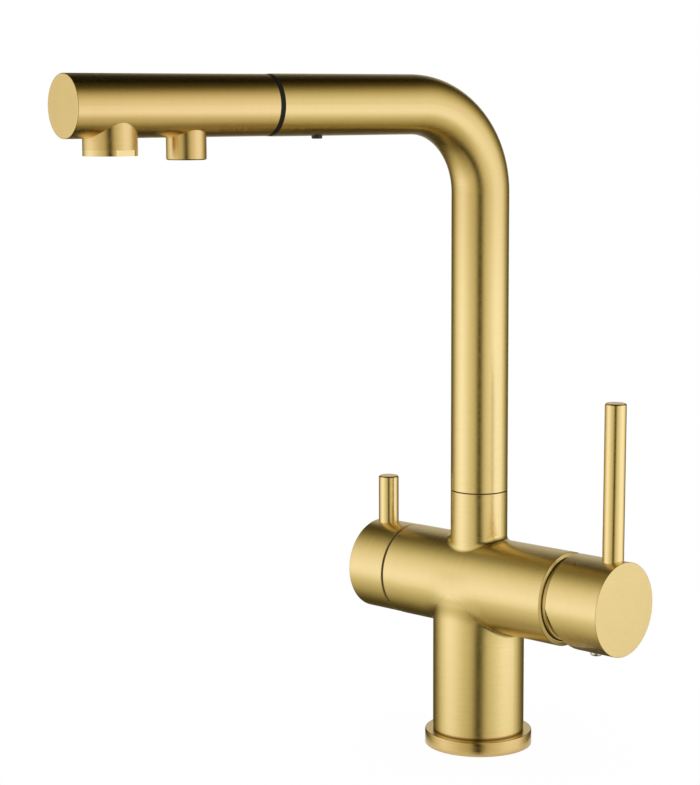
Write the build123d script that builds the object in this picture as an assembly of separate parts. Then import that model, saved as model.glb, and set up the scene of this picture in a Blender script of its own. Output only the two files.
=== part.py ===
from build123d import *
import math
import os

# A deck mounted three way kitchen tap: a column carries a cross barrel with the mixer handle at its
# +X end and the filtered water handle at its -X end, and a bent spout with a pull-out head.
# Millimetres, +Z up, origin at the centre of the base's underside. The user stands at -Y.

# --- sizes seen from outside ----------------------------------------------------------------------
tube_diameter = 28.4          # spout and neck
head_diameter = 28.0          # pull-out head
tube_wall = 1.5
barrel_diameter = 46.1
barrel_height = 82.9          # the barrel's axis above the deck
barrel_left = 44.4            # the column's axis to the barrel's left face
barrel_right = 56.15          # the column's axis to the barrel's right rim
column_step = 0.15            # how far the barrel stands proud of the column
column_blend = 2.0            # fillet between column and barrel
neck_top = 129.75
neck_blend = 3.0
ring_land = 4.0               # how far the base ring stands out from the column
ring_height = 7.2
arm_height = 320.6            # the arm's axis above the deck
bend_radius = 42.9
arm_reach = 123.2             # the column's axis to the arm's open end
spout_turn = -11.2            # the spout stands swivelled this far towards the filter handle, degrees
dock_rim = 2.2                # the black ring between arm and head
head_length = 102.4
swivel_seam = 0.4
seam_edge = 0.15              # chamfers either side of that seam
edge_round = 0.3

# --- fits -----------------------------------------------------------------------------------------
running_gap = 0.05            # radial gap of a turning or sliding fit
free_gap = 0.4                # between faces that never touch

# --- waterways in the column ----------------------------------------------------------------------
spigot_step = 2.1             # column surface to the spigot inside the base ring
shank_thread_radius = 17.2    # minor radius of the M36 x 1.5 socket
shank_thread_length = 10.0
port_circle = 12.6
port_thread_radius = 3.55     # minor radius of M8 x 1
port_thread_length = 9.0
gallery_radius = 2.6
hose_passage_radius = 7.0
hot_cold_angle = 60.0         # the hot and cold ports, either side of +X
filter_out_angle = 120.0
mixer_port_rise = 3.0         # hot and cold galleries above the barrel's axis
mixer_port_drop = 9.0         # mixed gallery below the barrel's axis
gasket_width = 2.5
gasket_depth = 1.8
gasket_land = 1.6             # ring metal outside the gasket

# --- swivel of the spout in the neck --------------------------------------------------------------
neck_bore_radius = 11.9
neck_floor = 103.0
sleeve_radius = 10.4
sleeve_bore_radius = 8.6
sleeve_foot = 104.5           # lowest point of the sleeve
sleeve_plug_length = 12.0     # how far the sleeve is brazed up into the spout
bush_flange_inset = 0.9       # the seam's dark flange lies this far inside the tube's surface
bush_length = 7.0
clip_thickness = 1.2
clip_depth = 0.7              # how deep the snap ring sits in sleeve and neck

# --- mixer cartridge (35 mm) ----------------------------------------------------------------------
mixer_seat = 17.0             # the seat's distance from the column's axis
cartridge_radius = 17.4
cartridge_wall = 1.8
cartridge_step = 38.5         # the shoulder that the nut presses on
cartridge_collar_radius = 13.5
cartridge_collar_end = 43.5
cartridge_base_thickness = 3.0
seal_crush = 0.5              # how far the seals hold the cartridge off its seat
seal_width = 1.5
seal_groove = 0.8
peg_radius = 1.8
peg_length = 2.5
peg_spread = 9.0
disc_thickness = 4.0
moving_disc_thickness = 3.5
moving_disc_radius = 10.6
moving_disc_rest = -2.2       # the disc's centre below the axis when the tap is shut
slider_thickness = 3.0
slider_boss_rise = 1.8
slider_boss_radius = 4.6
stem_pivot = 42.0             # the stem's pivot, from the column's axis
stem_ball_radius = 2.4
stem_ball_reach = 11.4        # pivot to the ball that moves the disc
stem_finger_radius = 1.6
stem_square = 8.0
stem_corner = 1.2
stem_end = 79.0
stem_eye_width = 8.6
stem_eye_half = 4.3
pin_radius = 1.5
carrier_rail_reach = 13.0
lever_tilt = 22.0             # outward tilt of the mixer lever, degrees
nut_thread_radius = 19.25
nut_face = 46.5
nut_collar_radius = 18.9
nut_collar_length = 4.0
nut_notches = 4
nut_notch_width = 4.0
rim_bore_radius = 20.75
cover_wall = 1.2
cover_skirt_end = 58.4
cover_shoulder = 1.7          # how far the dome stands inside its skirt
cover_edge = 0.5
cover_mouth_angle = 37.0      # half angle of the cover's round mouth, seen from the pivot

# --- mixer handle ---------------------------------------------------------------------------------
mixer_knob_diameter = 45.7
mixer_knob_back = 60.3
mixer_knob_end = 89.9
mixer_skirt_wall = 2.7
mixer_skirt_slant = 20.0      # slant of the skirt's lower half, degrees
mixer_knob_floor = 66.8
lever_diameter = 10.3
lever_seat = 1.2              # depth of the lever's counterbore
lever_spigot_radius = 3.0
lever_spigot_length = 6.0
lever_edge = 0.6
mixer_lever_x = 82.9
mixer_lever_top = 181.3
mixer_lever_lean = 0.3        # outward lean, degrees
grub_screw_radius = 2.5
grub_screw_length = 8.0
grub_socket_radius = 1.25
plug_radius = 2.9
plug_depth = 3.0
plug_proud = 2.0
plug_x = 73.7
dot_radius = 0.9
dot_depth = 0.8
dot_x = 67.8
dot_angle = 26.0              # either side of the lever, degrees

# --- filter valve ---------------------------------------------------------------------------------
filter_seat = 17.0
filter_bore_radius = 10.5
filter_thread_start = 32.0
filter_thread_radius = 11.0
filter_thread_end = 40.4
filter_recess_radius = 16.8
headwork_nose_radius = 9.0
headwork_bore_radius = 7.4
headwork_hex = 24.0           # across flats
headwork_hex_end = 45.4
headwork_collar_radius = 7.5
headwork_collar_end = 49.0
filter_seal_thickness = 1.6
filter_disc_thickness = 3.0
spindle_radius = 4.2
spindle_flange = 3.0
spindle_end = 58.0
spindle_tang_width = 2.6
spindle_tang_depth = 1.0
spindle_tang_inset = 1.5      # the tongue's ends, inside the headwork's bore
quarter_web = 1.0             # half the web between a disc's two openings
quarter_rim = 1.2             # ceramic left outside them
spline_teeth = 20
spline_depth = 0.45
o_ring_section = 1.3
glide_ring_thickness = 1.3
glide_ring_inset = 0.8
filter_knob_diameter = 45.8
filter_knob_length = 22.5
filter_knob_floor = 55.0
filter_knob_wall = 2.9
filter_hub_radius = 8.5
filter_lever_x = 61.2
filter_lever_top = 129.7
filter_screw_radius = 2.0
filter_screw_length = 6.0

# --- dock of the pull-out head --------------------------------------------------------------------
dock_length = 36.0
dock_bore_radius = 8.6
snap_setback = 26.3           # the snap button's axis, from the arm's open end
snap_radius = 2.5
snap_flange_radius = 3.3
snap_flange_thickness = 0.8
snap_proud = 1.3
snap_travel = 1.2
snap_edge = 0.3
spring_strip = 0.2
spring_width = 3.0

# --- pull-out head --------------------------------------------------------------------------------
head_wall = 1.7
head_face = 3.0               # thickness of the closed end
head_edge = 0.4
nipple_length = 32.5
nipple_flange_radius = 11.6
nipple_flange_thickness = 2.4
water_bore_radius = 2.4
water_bore_offset = 4.4
waterway_start = 4.0          # the waterway's back face, from the head's back end
waterway_length = 81.5
valve_inset = 1.0             # the check valve pockets, from the waterway's back face
outlet_channel_radius = 3.6
channel_overrun = 1.0         # how far a channel runs past its outlet's axis
check_valve_radius = 4.4
check_valve_length = 12.0
check_valve_offset = 5.2
check_valve_wall = 1.0
poppet_stem_radius = 1.0
nipple_seal_width = 1.2
main_outlet_reach = 79.9      # the front outlet's axis, from the head's back end
main_outlet_radius = 12.0
main_outlet_drop = 18.9       # the boss's lower end below the head's axis
aerator_flange = 2.6
aerator_flats = 22.0
flats_turn = 7.7              # a flat's direction from +X before the spout is swivelled, degrees
aerator_thread_radius = 9.6
aerator_thread_length = 4.6
aerator_bore_radius = 8.5
aerator_inset = 0.8           # the main insert's face, up inside its ring
filter_outlet_reach = 41.6
filter_outlet_radius = 9.0
filter_outlet_drop = 23.9
filter_aerator_radius = 6.4
filter_aerator_length = 5.5
filter_aerator_inset = 0.6
aerator_hole_radius = 0.8
aerator_washer = 1.2
aerator_washer_width = 1.5
outlet_edge = 0.5

# --- sizes that follow ----------------------------------------------------------------------------
tube_radius = tube_diameter / 2
head_radius = head_diameter / 2
tube_bore_radius = tube_radius - tube_wall
barrel_radius = barrel_diameter / 2
column_radius = barrel_radius - column_step
ring_radius = column_radius + ring_land
spigot_radius = column_radius - spigot_step
spout_foot = neck_top + swivel_seam
mixer_knob_radius = mixer_knob_diameter / 2
lever_radius = lever_diameter / 2
cartridge_foot = mixer_seat + seal_crush
cartridge_base_top = cartridge_foot + cartridge_base_thickness
fixed_disc_top = cartridge_base_top + disc_thickness
moving_disc_top = fixed_disc_top + moving_disc_thickness
slider_top = moving_disc_top + slider_thickness
slider_boss_top = slider_top + slider_boss_rise
cover_skirt_radius = nut_collar_radius + cover_wall
cover_dome_radius = cover_skirt_radius - cover_shoulder
cover_radius = math.hypot(cover_skirt_end - stem_pivot, cover_dome_radius)
cartridge_bore_radius = cartridge_radius - cartridge_wall
slider_travel = stem_ball_reach * math.sin(math.radians(lever_tilt))
filter_knob_radius = filter_knob_diameter / 2
filter_knob_start = barrel_left + glide_ring_thickness + running_gap
filter_knob_end = filter_knob_start + filter_knob_length
head_back = arm_reach + dock_rim
head_end = head_back + head_length
snap_x = arm_reach - snap_setback
main_outlet_x = head_back + main_outlet_reach
filter_outlet_x = head_back + filter_outlet_reach
dock_radius = tube_bore_radius
head_bore_radius = head_radius - head_wall

LOW = (Align.CENTER, Align.CENTER, Align.MIN)
os.makedirs("parts", exist_ok=True)


# --- bars and turned pieces along the three directions of the tap ---------------------------------
def upright(radius, low, high, x=0.0, y=0.0):
    """A round bar along +Z."""
    return Pos(x, y, low) * Cylinder(radius, high - low, align=LOW)


def across(radius, start, end, y=0.0, z=0.0):
    """A round bar along the barrel, from one distance on +X to another; y and z from its axis."""
    return Pos(start, y, barrel_height + z) * Rot(0, 90, 0) * Cylinder(radius, end - start, align=LOW)


def leftward(radius, start, end, y=0.0, z=0.0):
    """The same towards the filter handle."""
    return across(radius, -end, -start, y, z)


def forward(radius, start, end, x=0.0, z=0.0):
    """A round bar along the arm, before the spout is swivelled."""
    return Pos(x, -start, arm_height + z) * Rot(90, 0, 0) * Cylinder(radius, end - start, align=LOW)


def lathe(corners):
    """A turned piece about +Z from its (radius, height) corners."""
    outline = make_face(Polyline(*corners, close=True))
    return revolve(Plane.XZ * outline, Axis.Z)


def barrel_lathe(corners):
    """A turned piece about the barrel's axis, from (radius, distance on +X) corners."""
    return Pos(0, 0, barrel_height) * Rot(0, 90, 0) * lathe(corners)


def filter_lathe(corners):
    """A turned piece about the barrel's axis, from (radius, distance on -X) corners."""
    return Pos(0, 0, barrel_height) * Rot(0, -90, 0) * lathe(corners)


def arm_lathe(corners):
    """A turned piece about the arm's axis, from (radius, reach) corners, before the swivel."""
    return Pos(0, 0, arm_height) * Rot(90, 0, 0) * lathe(corners)


def swivelled(piece):
    """Turns what was modelled straight ahead to where the spout stands."""
    return Rot(0, 0, spout_turn) * piece


def ring(inner, outer, low, high):
    """Corners of a plain ring for the lathes."""
    return [(inner, low), (outer, low), (outer, high), (inner, high)]


def circles_at(piece, axis, position, tolerance=0.02):
    """The full circles of a piece that lie at one place along an axis."""
    where = {Axis.X: lambda c: c.X, Axis.Y: lambda c: c.Y, Axis.Z: lambda c: c.Z}[axis]
    rims = piece.edges().filter_by(GeomType.CIRCLE)
    return [edge for edge in rims if abs(where(edge.arc_center) - position) < tolerance]


def widest(edges):
    """The edges of the largest radius among some circles."""
    largest = max(edge.radius for edge in edges)
    return [edge for edge in edges if edge.radius > largest - 0.01]


def port_place(angle):
    """The (x, y) of a port on the port circle."""
    turn = math.radians(angle)
    return port_circle * math.cos(turn), port_circle * math.sin(turn)


# --- base and body --------------------------------------------------------------------------------
def make_base_ring():
    gasket_outer = ring_radius - gasket_land
    blank = upright(ring_radius, 0, ring_height)
    blank = fillet(widest(circles_at(blank, Axis.Z, ring_height)), edge_round * 2)
    blank -= upright(spigot_radius, 0, ring_height)
    groove = lathe(ring(gasket_outer - gasket_width, gasket_outer, 0, gasket_depth))
    return blank - groove


def make_base_gasket():
    gasket_outer = ring_radius - gasket_land
    return lathe(ring(gasket_outer - gasket_width, gasket_outer, 0, gasket_depth))


def body_casting():
    """Column, barrel and neck, blended into each other."""
    barrel = across(barrel_radius, -barrel_left, barrel_right)
    casting = barrel + upright(column_radius, ring_height, barrel_height)
    casting += upright(tube_radius, barrel_height, neck_top)
    seams = [e for e in casting.edges() if e.geom_type not in (GeomType.CIRCLE, GeomType.LINE)]
    under = [e for e in seams if e.center().Z < barrel_height]
    casting = fillet(under, column_blend)
    seams = [e for e in casting.edges() if e.geom_type not in (GeomType.CIRCLE, GeomType.LINE)]
    above = [e for e in seams if e.center().Z > barrel_height + barrel_radius / 2]
    casting = fillet(above, neck_blend)
    casting = fillet(circles_at(casting, Axis.X, barrel_right), edge_round)
    casting = fillet(circles_at(casting, Axis.X, -barrel_left), edge_round)
    casting = chamfer(circles_at(casting, Axis.Z, neck_top), seam_edge)
    return casting + upright(spigot_radius, 0, ring_height)


def gallery(angle, height, seat, seat_height):
    """A threaded port under the column, its upright drilling and the cross drilling to a valve seat."""
    x, y = port_place(angle)
    foot = shank_thread_length
    hollow = upright(port_thread_radius, foot, foot + port_thread_length, x, y)
    hollow += upright(gallery_radius, foot, barrel_height + height + gallery_radius * 0.5, x, y)
    start, end = sorted((x, seat))
    return hollow + across(gallery_radius, start, end, y, seat_height)


def mixer_ports():
    """The (y, z) of the three holes in the cartridge's seat, and the angle of each one's port."""
    side = port_circle * math.sin(math.radians(hot_cold_angle))
    return [(side, mixer_port_rise, hot_cold_angle), (-side, mixer_port_rise, -hot_cold_angle),
            (0.0, -mixer_port_drop, 0.0)]


def peg_places():
    return [(-peg_spread, -peg_spread), (peg_spread, -peg_spread)]


def make_body():
    casting = body_casting()
    casting -= upright(shank_thread_radius, 0, shank_thread_length)
    casting -= upright(hose_passage_radius, shank_thread_length, neck_floor)
    casting -= upright(neck_bore_radius, neck_floor, neck_top)
    casting -= lathe(ring(neck_bore_radius, neck_bore_radius + clip_depth, clip_low() - running_gap,
                          clip_low() + clip_thickness + running_gap))
    # the mixer's chamber: seat, thread and rim
    casting -= across(cartridge_radius + running_gap, mixer_seat, cartridge_step)
    casting -= across(nut_thread_radius, cartridge_step, nut_face)
    casting -= across(rim_bore_radius, nut_face, barrel_right)
    for y, z, angle in mixer_ports():
        casting -= gallery(angle, z, mixer_seat, z)
    for y, z in peg_places():
        casting -= across(peg_radius + running_gap, cartridge_foot - peg_length - free_gap, mixer_seat, y, z)
    # the filter valve's chamber
    casting -= leftward(filter_bore_radius, filter_seat, filter_thread_start)
    casting -= leftward(filter_thread_radius, filter_thread_start, filter_thread_end)
    casting -= leftward(filter_recess_radius, filter_thread_end, barrel_left)
    casting -= gallery(180.0, 0.0, -filter_seat, 0.0)
    casting -= gallery(filter_out_angle, 0.0, -filter_seat - 3 * gallery_radius, 0.0)
    return casting


# --- swivel ---------------------------------------------------------------------------------------
def clip_low():
    """The lower face of the snap ring that holds the sleeve in the neck."""
    return sleeve_foot + clip_thickness


def make_spout():
    """One tube: up from the swivel, round the bend and out along the arm."""
    rise = Line((0, 0, spout_foot), (0, 0, arm_height - bend_radius))
    arm = Line((0, -bend_radius, arm_height), (0, -arm_reach, arm_height))
    route = Wire([rise.edge(), bend_quarter(), arm.edge()])
    start = Plane(origin=(0, 0, spout_foot), z_dir=(0, 0, 1))
    outside = sweep(start * Circle(tube_radius), path=route)
    outside = chamfer(widest(circles_at(outside, Axis.Z, spout_foot)), seam_edge)
    inside = sweep(start * Circle(tube_bore_radius), path=route)
    hole = Pos(0, -snap_x, arm_height) * Rot(180, 0, 0) * Cylinder(
        snap_radius + running_gap * 2, tube_diameter, align=LOW)
    return swivelled(outside - inside - hole)


def bend_quarter():
    """The bend's centre line, a quarter circle from the rise to the arm."""
    centre = Vector(0, -bend_radius, arm_height - bend_radius)
    middle = centre + Vector(0, bend_radius * math.cos(math.pi / 4), bend_radius * math.sin(math.pi / 4))
    return ThreePointArc((0, 0, arm_height - bend_radius), middle, (0, -bend_radius, arm_height)).edge()


def make_swivel_sleeve():
    """Brazed into the spout's foot, it stands in the neck and turns with the spout."""
    top = spout_foot + sleeve_plug_length
    sleeve = lathe([(sleeve_bore_radius, sleeve_foot), (sleeve_radius, sleeve_foot),
                    (sleeve_radius, spout_foot), (tube_bore_radius, spout_foot),
                    (tube_bore_radius, top), (sleeve_bore_radius, top)])
    sleeve -= lathe(ring(sleeve_radius - clip_depth, sleeve_radius, clip_low(), clip_low() + clip_thickness))
    for middle in o_ring_heights():
        sleeve -= lathe(ring(sleeve_radius - o_ring_section / 2, sleeve_radius,
                             middle - o_ring_section / 2, middle + o_ring_section / 2))
    return sleeve


def lower_bush_low():
    return clip_low() + clip_thickness + running_gap


def o_ring_heights():
    """Two rings between the bushes steady the spout and grip it where it is put."""
    low = lower_bush_low() + bush_length
    high = neck_top - bush_length
    return [low + (high - low) * share for share in (0.3, 0.7)]


def make_lower_bush():
    low = lower_bush_low()
    return lathe(ring(sleeve_radius + running_gap, neck_bore_radius, low, low + bush_length))


def make_upper_bush():
    """Flanged: its flange is the dark line between neck and spout."""
    flange = tube_radius - bush_flange_inset
    inner = sleeve_radius + running_gap
    return lathe([(inner, neck_top - bush_length), (neck_bore_radius, neck_top - bush_length),
                  (neck_bore_radius, neck_top), (flange, neck_top), (flange, spout_foot - running_gap),
                  (inner, spout_foot - running_gap)])


def make_sleeve_o_rings():
    rings = [lathe(ring(sleeve_radius - o_ring_section / 2, neck_bore_radius - running_gap,
                        middle - o_ring_section / 2, middle + o_ring_section / 2))
             for middle in o_ring_heights()]
    return Compound(children=rings)


def make_swivel_clip():
    """An open snap ring in the sleeve's groove, running in the neck's groove."""
    clip = lathe(ring(sleeve_radius - clip_depth, neck_bore_radius + clip_depth - running_gap,
                      clip_low(), clip_low() + clip_thickness))
    opening = Box(clip_thickness * 2, neck_bore_radius, clip_thickness * 4)
    return clip - Pos(0, neck_bore_radius, clip_low()) * opening


# --- mixer cartridge ------------------------------------------------------------------------------
def make_cartridge_base():
    base = across(cartridge_radius, cartridge_foot, cartridge_base_top)
    base -= barrel_lathe(ring(cartridge_bore_radius, cartridge_radius, cartridge_base_top - cartridge_wall,
                              cartridge_base_top))
    for y, z in peg_places():
        base += across(peg_radius, cartridge_foot - peg_length, cartridge_foot, y, z)
    for y, z, _ in mixer_ports():
        base -= across(gallery_radius, cartridge_foot, cartridge_base_top, y, z)
        base -= across(gallery_radius + seal_width, cartridge_foot, cartridge_foot + seal_groove, y, z)
    return base


def make_cartridge_seals():
    seals = [across(gallery_radius + seal_width, mixer_seat, cartridge_foot + seal_groove, y, z)
             - across(gallery_radius, mixer_seat, cartridge_foot + seal_groove, y, z)
             for y, z, _ in mixer_ports()]
    return Compound(children=seals)


def make_cartridge_housing():
    """The cartridge's shell, with the collar that the stem's carrier turns in."""
    low = cartridge_base_top - cartridge_wall
    collar_bore = carrier_neck_radius() + running_gap
    return barrel_lathe([(cartridge_bore_radius, low), (cartridge_radius, low),
                         (cartridge_radius, cartridge_step), (cartridge_collar_radius, cartridge_step),
                         (cartridge_collar_radius, cartridge_collar_end), (collar_bore, cartridge_collar_end),
                         (collar_bore, cartridge_step - cartridge_wall),
                         (cartridge_bore_radius, cartridge_step - cartridge_wall)])


def carrier_neck_radius():
    return cartridge_collar_radius - cartridge_wall - running_gap


def make_fixed_disc():
    disc = across(cartridge_bore_radius, cartridge_base_top, fixed_disc_top)
    for y, z, _ in mixer_ports():
        disc -= across(gallery_radius, cartridge_base_top, fixed_disc_top, y, z)
    return disc


def make_moving_disc():
    """Slides over the fixed disc; the hollow in its face joins the ports."""
    disc = across(moving_disc_radius, fixed_disc_top, moving_disc_top, 0, moving_disc_rest)
    hollow = across(moving_disc_radius * 0.62, fixed_disc_top, fixed_disc_top + moving_disc_thickness / 2,
                    0, moving_disc_rest)
    return disc - hollow


def make_disc_slider():
    """Carries the moving disc and holds the stem's ball in its socket."""
    slider = across(moving_disc_radius, moving_disc_top, slider_top, 0, moving_disc_rest)
    slider += across(slider_boss_radius, moving_disc_top, slider_boss_top)
    return slider - across(stem_ball_radius + running_gap * 2, moving_disc_top, slider_boss_top)


def make_stem_carrier():
    """Turns in the housing with the lever; the stem tilts on the pin across it."""
    low = slider_top + free_gap / 2
    shoulder = cartridge_step - cartridge_wall - running_gap
    flange = cartridge_bore_radius - running_gap * 2
    carrier = across(flange, low, shoulder) + across(carrier_neck_radius(), low, cartridge_collar_end)
    rail_inner = moving_disc_radius + running_gap * 4
    for side in (-1, 1):
        middle = side * (rail_inner + carrier_rail_reach) / 2
        carrier += Pos(moving_disc_top, middle, barrel_height) * Box(
            low - moving_disc_top + 0.5, carrier_rail_reach - rail_inner, moving_disc_radius,
            align=(Align.MIN, Align.CENTER, Align.CENTER))
    # room for the slider's boss, which travels upwards
    boss_room = slider_boss_radius + free_gap
    carrier -= Pos(low, 0, barrel_height + slider_travel / 2) * Box(
        slider_boss_rise + free_gap * 2, boss_room * 2, boss_room * 2 + slider_travel,
        align=(Align.MIN, Align.CENTER, Align.CENTER))
    # room for the stem's eye and finger as they tilt
    slot = stem_eye_width + free_gap
    eye_room = math.hypot(stem_eye_half, stem_eye_half) + free_gap
    carrier -= Pos(stem_pivot - eye_room, 0, barrel_height) * Box(
        eye_room * 2, slot, eye_room * 2, align=(Align.MIN, Align.CENTER, Align.CENTER))
    finger_low = -stem_finger_radius - free_gap
    finger_high = slider_travel + stem_finger_radius + free_gap
    carrier -= Pos(low, 0, barrel_height + finger_low) * Box(
        stem_pivot - low, slot, finger_high - finger_low, align=(Align.MIN, Align.CENTER, Align.MIN))
    return carrier - stem_pin_bar(pin_radius)


def stem_pin_bar(radius):
    """A bar along the stem's pin, through the carrier's neck."""
    length = 2 * (carrier_neck_radius() - 1.0)
    return Pos(stem_pivot, 0, barrel_height) * Rot(90, 0, 0) * Cylinder(radius, length)


def make_mixer_stem():
    eye = Pos(stem_pivot, 0, barrel_height) * Box(2 * stem_eye_half, stem_eye_width, 2 * stem_eye_half)
    eye = fillet(eye.edges().filter_by(Axis.Y), stem_corner)
    shank = stem_bar(0.0, stem_pivot + stem_eye_half - stem_corner, stem_end)
    finger = across(stem_finger_radius, stem_pivot - stem_ball_reach, stem_pivot)
    ball = Pos(stem_pivot - stem_ball_reach, 0, barrel_height) * Sphere(stem_ball_radius)
    return eye + shank + finger + ball - stem_pin_bar(pin_radius + running_gap)


def stem_bar(gap, start, end):
    """The stem's square bar with rounded corners, or with a gap the socket it fits."""
    side = stem_square + 2 * gap
    bar = Pos(start, 0, barrel_height) * Box(end - start, side, side,
                                             align=(Align.MIN, Align.CENTER, Align.CENTER))
    return fillet(bar.edges().filter_by(Axis.X), stem_corner)


def make_cartridge_nut():
    """A ring nut that clamps the cartridge; four notches take the pin spanner."""
    bore = cartridge_collar_radius + free_gap
    end = nut_face + nut_collar_length
    nut = barrel_lathe([(bore, cartridge_step), (nut_thread_radius, cartridge_step),
                        (nut_thread_radius, nut_face), (nut_collar_radius, nut_face),
                        (nut_collar_radius, end), (bore + cartridge_wall, end),
                        (bore + cartridge_wall, cartridge_collar_end), (bore, cartridge_collar_end)])
    for index in range(nut_notches):
        notch = Pos(end, 0, 0) * Box(nut_collar_length / 2, nut_notch_width, nut_collar_radius * 2,
                                     align=(Align.MAX, Align.CENTER, Align.MIN))
        nut -= Pos(0, 0, barrel_height) * Rot(360 / nut_notches * index + 45, 0, 0) * (
            Pos(0, 0, bore + cartridge_wall / 2) * notch)
    return nut


def make_cartridge_cover():
    """The gold dome inside the rim: a spherical cap about the stem's pivot, inside a round skirt."""
    inner = cover_radius - cover_wall
    mouth = math.radians(cover_mouth_angle)
    shoulder = math.atan2(cover_dome_radius, cover_skirt_end - stem_pivot)
    inner_shoulder = math.asin(nut_collar_radius / inner)

    def on_cap(radius, angle):
        return radius * math.sin(angle), stem_pivot + radius * math.cos(angle)

    outer_cap = ThreePointArc(on_cap(cover_radius, shoulder), on_cap(cover_radius, (shoulder + mouth) / 2),
                              on_cap(cover_radius, mouth))
    inner_cap = ThreePointArc(on_cap(inner, mouth), on_cap(inner, (inner_shoulder + mouth) / 2),
                              on_cap(inner, inner_shoulder))
    skirt_start = nut_face + running_gap
    edge_start = (cover_skirt_radius, cover_skirt_end - cover_edge)
    edge_end = (cover_skirt_radius - cover_edge, cover_skirt_end)
    outline = [Line((nut_collar_radius, skirt_start), (cover_skirt_radius, skirt_start)),
               Line((cover_skirt_radius, skirt_start), edge_start), Line(edge_start, edge_end),
               Line(edge_end, on_cap(cover_radius, shoulder)), outer_cap,
               Line(on_cap(cover_radius, mouth), on_cap(inner, mouth)), inner_cap,
               Line(on_cap(inner, inner_shoulder), (nut_collar_radius, skirt_start))]
    section = make_face(Curve() + outline)
    return Pos(0, 0, barrel_height) * Rot(0, 90, 0) * revolve(Plane.XZ * section, Axis.Z)


# --- handles --------------------------------------------------------------------------------------
def lever_rod(x, surface, top, lean=0.0):
    """A round lever: its foot stands in a counterbore of the knob, on a threaded spigot."""
    foot = surface - lever_seat
    rod = upright(lever_radius, foot, top)
    rod = chamfer(circles_at(rod, Axis.Z, top), lever_edge)
    rod += upright(lever_spigot_radius, foot - lever_spigot_length, foot)
    return Pos(x, 0, surface) * Rot(0, lean, 0) * Pos(0, 0, -surface) * rod


def make_mixer_lever():
    return lever_rod(mixer_lever_x, barrel_height + mixer_knob_radius, mixer_lever_top, mixer_lever_lean)


def mixer_knob_blank():
    """The knob's outside: a bar whose skirt is cut on a slant below the axis."""
    blank = across(mixer_knob_radius, mixer_knob_back, mixer_knob_end)
    blank = fillet(circles_at(blank, Axis.X, mixer_knob_end), edge_round)
    depth = mixer_knob_radius + 1.0
    run = depth * math.tan(math.radians(mixer_skirt_slant))
    behind = mixer_knob_back - 1
    wedge = make_face(Polyline((mixer_knob_back, 0), (mixer_knob_back + run, -depth), (behind, -depth),
                               (behind, 0), close=True))
    wedge = extrude(Plane.XZ * wedge, 2 * depth)
    return blank - Pos(0, depth, barrel_height) * wedge


def dot_bar(angle):
    """The bar that a dot is cut from, pointing out of the knob at an angle from the lever."""
    bar = Pos(0, 0, mixer_knob_radius - dot_depth) * Cylinder(dot_radius, dot_depth * 3, align=LOW)
    return Pos(dot_x, 0, barrel_height) * Rot(angle, 0, 0) * bar


def make_dot(angle):
    return dot_bar(angle) & across(mixer_knob_radius, mixer_knob_back, mixer_knob_end)


def make_mixer_knob():
    knob = mixer_knob_blank()
    knob -= across(mixer_knob_radius - mixer_skirt_wall, mixer_knob_back, mixer_knob_floor)
    knob -= stem_bar(running_gap, mixer_knob_floor, stem_end + free_gap)
    knob -= make_mixer_lever()
    knob -= upright(grub_screw_radius, barrel_height - mixer_knob_radius, barrel_height, plug_x)
    knob -= upright(plug_radius, barrel_height - mixer_knob_radius - 1,
                    barrel_height - mixer_knob_radius + plug_depth, plug_x)
    return knob - dot_bar(dot_angle) - dot_bar(-dot_angle)


def grub_screw(radius, length, tip, x):
    """A hexagon socket set screw pointing up, its tip at a height."""
    screw = upright(radius, tip - length, tip, x)
    screw = chamfer(circles_at(screw, Axis.Z, tip), radius / 4)
    socket = Pos(x, 0, tip - length) * extrude(RegularPolygon(grub_socket_radius, 6), length / 3)
    return screw - socket


def make_mixer_screw_plug():
    low = barrel_height - mixer_knob_radius - plug_proud
    plug = upright(plug_radius, low, barrel_height - mixer_knob_radius + plug_depth, plug_x)
    return fillet(circles_at(plug, Axis.Z, low), plug_radius / 3)


# --- filter valve ---------------------------------------------------------------------------------
def filter_stack():
    """Where each disc of the filter valve starts, from the column's axis."""
    fixed = filter_seat + filter_seal_thickness
    turning = fixed + filter_disc_thickness
    spindle = turning + filter_disc_thickness
    return fixed, turning, spindle


def make_filter_headwork():
    nose, _, spindle = filter_stack()
    chamber_end = spindle + spindle_flange + running_gap
    headwork = filter_lathe([(headwork_bore_radius, nose), (headwork_nose_radius, nose),
                             (headwork_nose_radius, filter_thread_start),
                             (filter_thread_radius, filter_thread_start),
                             (filter_thread_radius, filter_thread_end),
                             (headwork_collar_radius, filter_thread_end),
                             (headwork_collar_radius, headwork_collar_end),
                             (spindle_radius + running_gap, headwork_collar_end),
                             (spindle_radius + running_gap, chamber_end),
                             (headwork_bore_radius, chamber_end)])
    hexagon = RegularPolygon(headwork_hex / 2, 6, major_radius=False)
    flats = extrude(hexagon, headwork_hex_end - filter_thread_end)
    flats = Pos(-filter_thread_end, 0, barrel_height) * Rot(0, -90, 0) * flats
    headwork += flats - leftward(headwork_collar_radius, filter_thread_end, headwork_hex_end)
    # windows that let the water out beside the discs
    for angle in (0, 180):
        window = Pos(-spindle, 0, barrel_height) * Rot(angle - 90, 0, 0) * Cylinder(
            gallery_radius, headwork_nose_radius, align=LOW)
        headwork -= window
    return headwork


def make_filter_seat_seal():
    return filter_lathe(ring(headwork_bore_radius - filter_seal_thickness * 0.9, headwork_nose_radius,
                             filter_seat, filter_seat + filter_seal_thickness))


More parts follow.
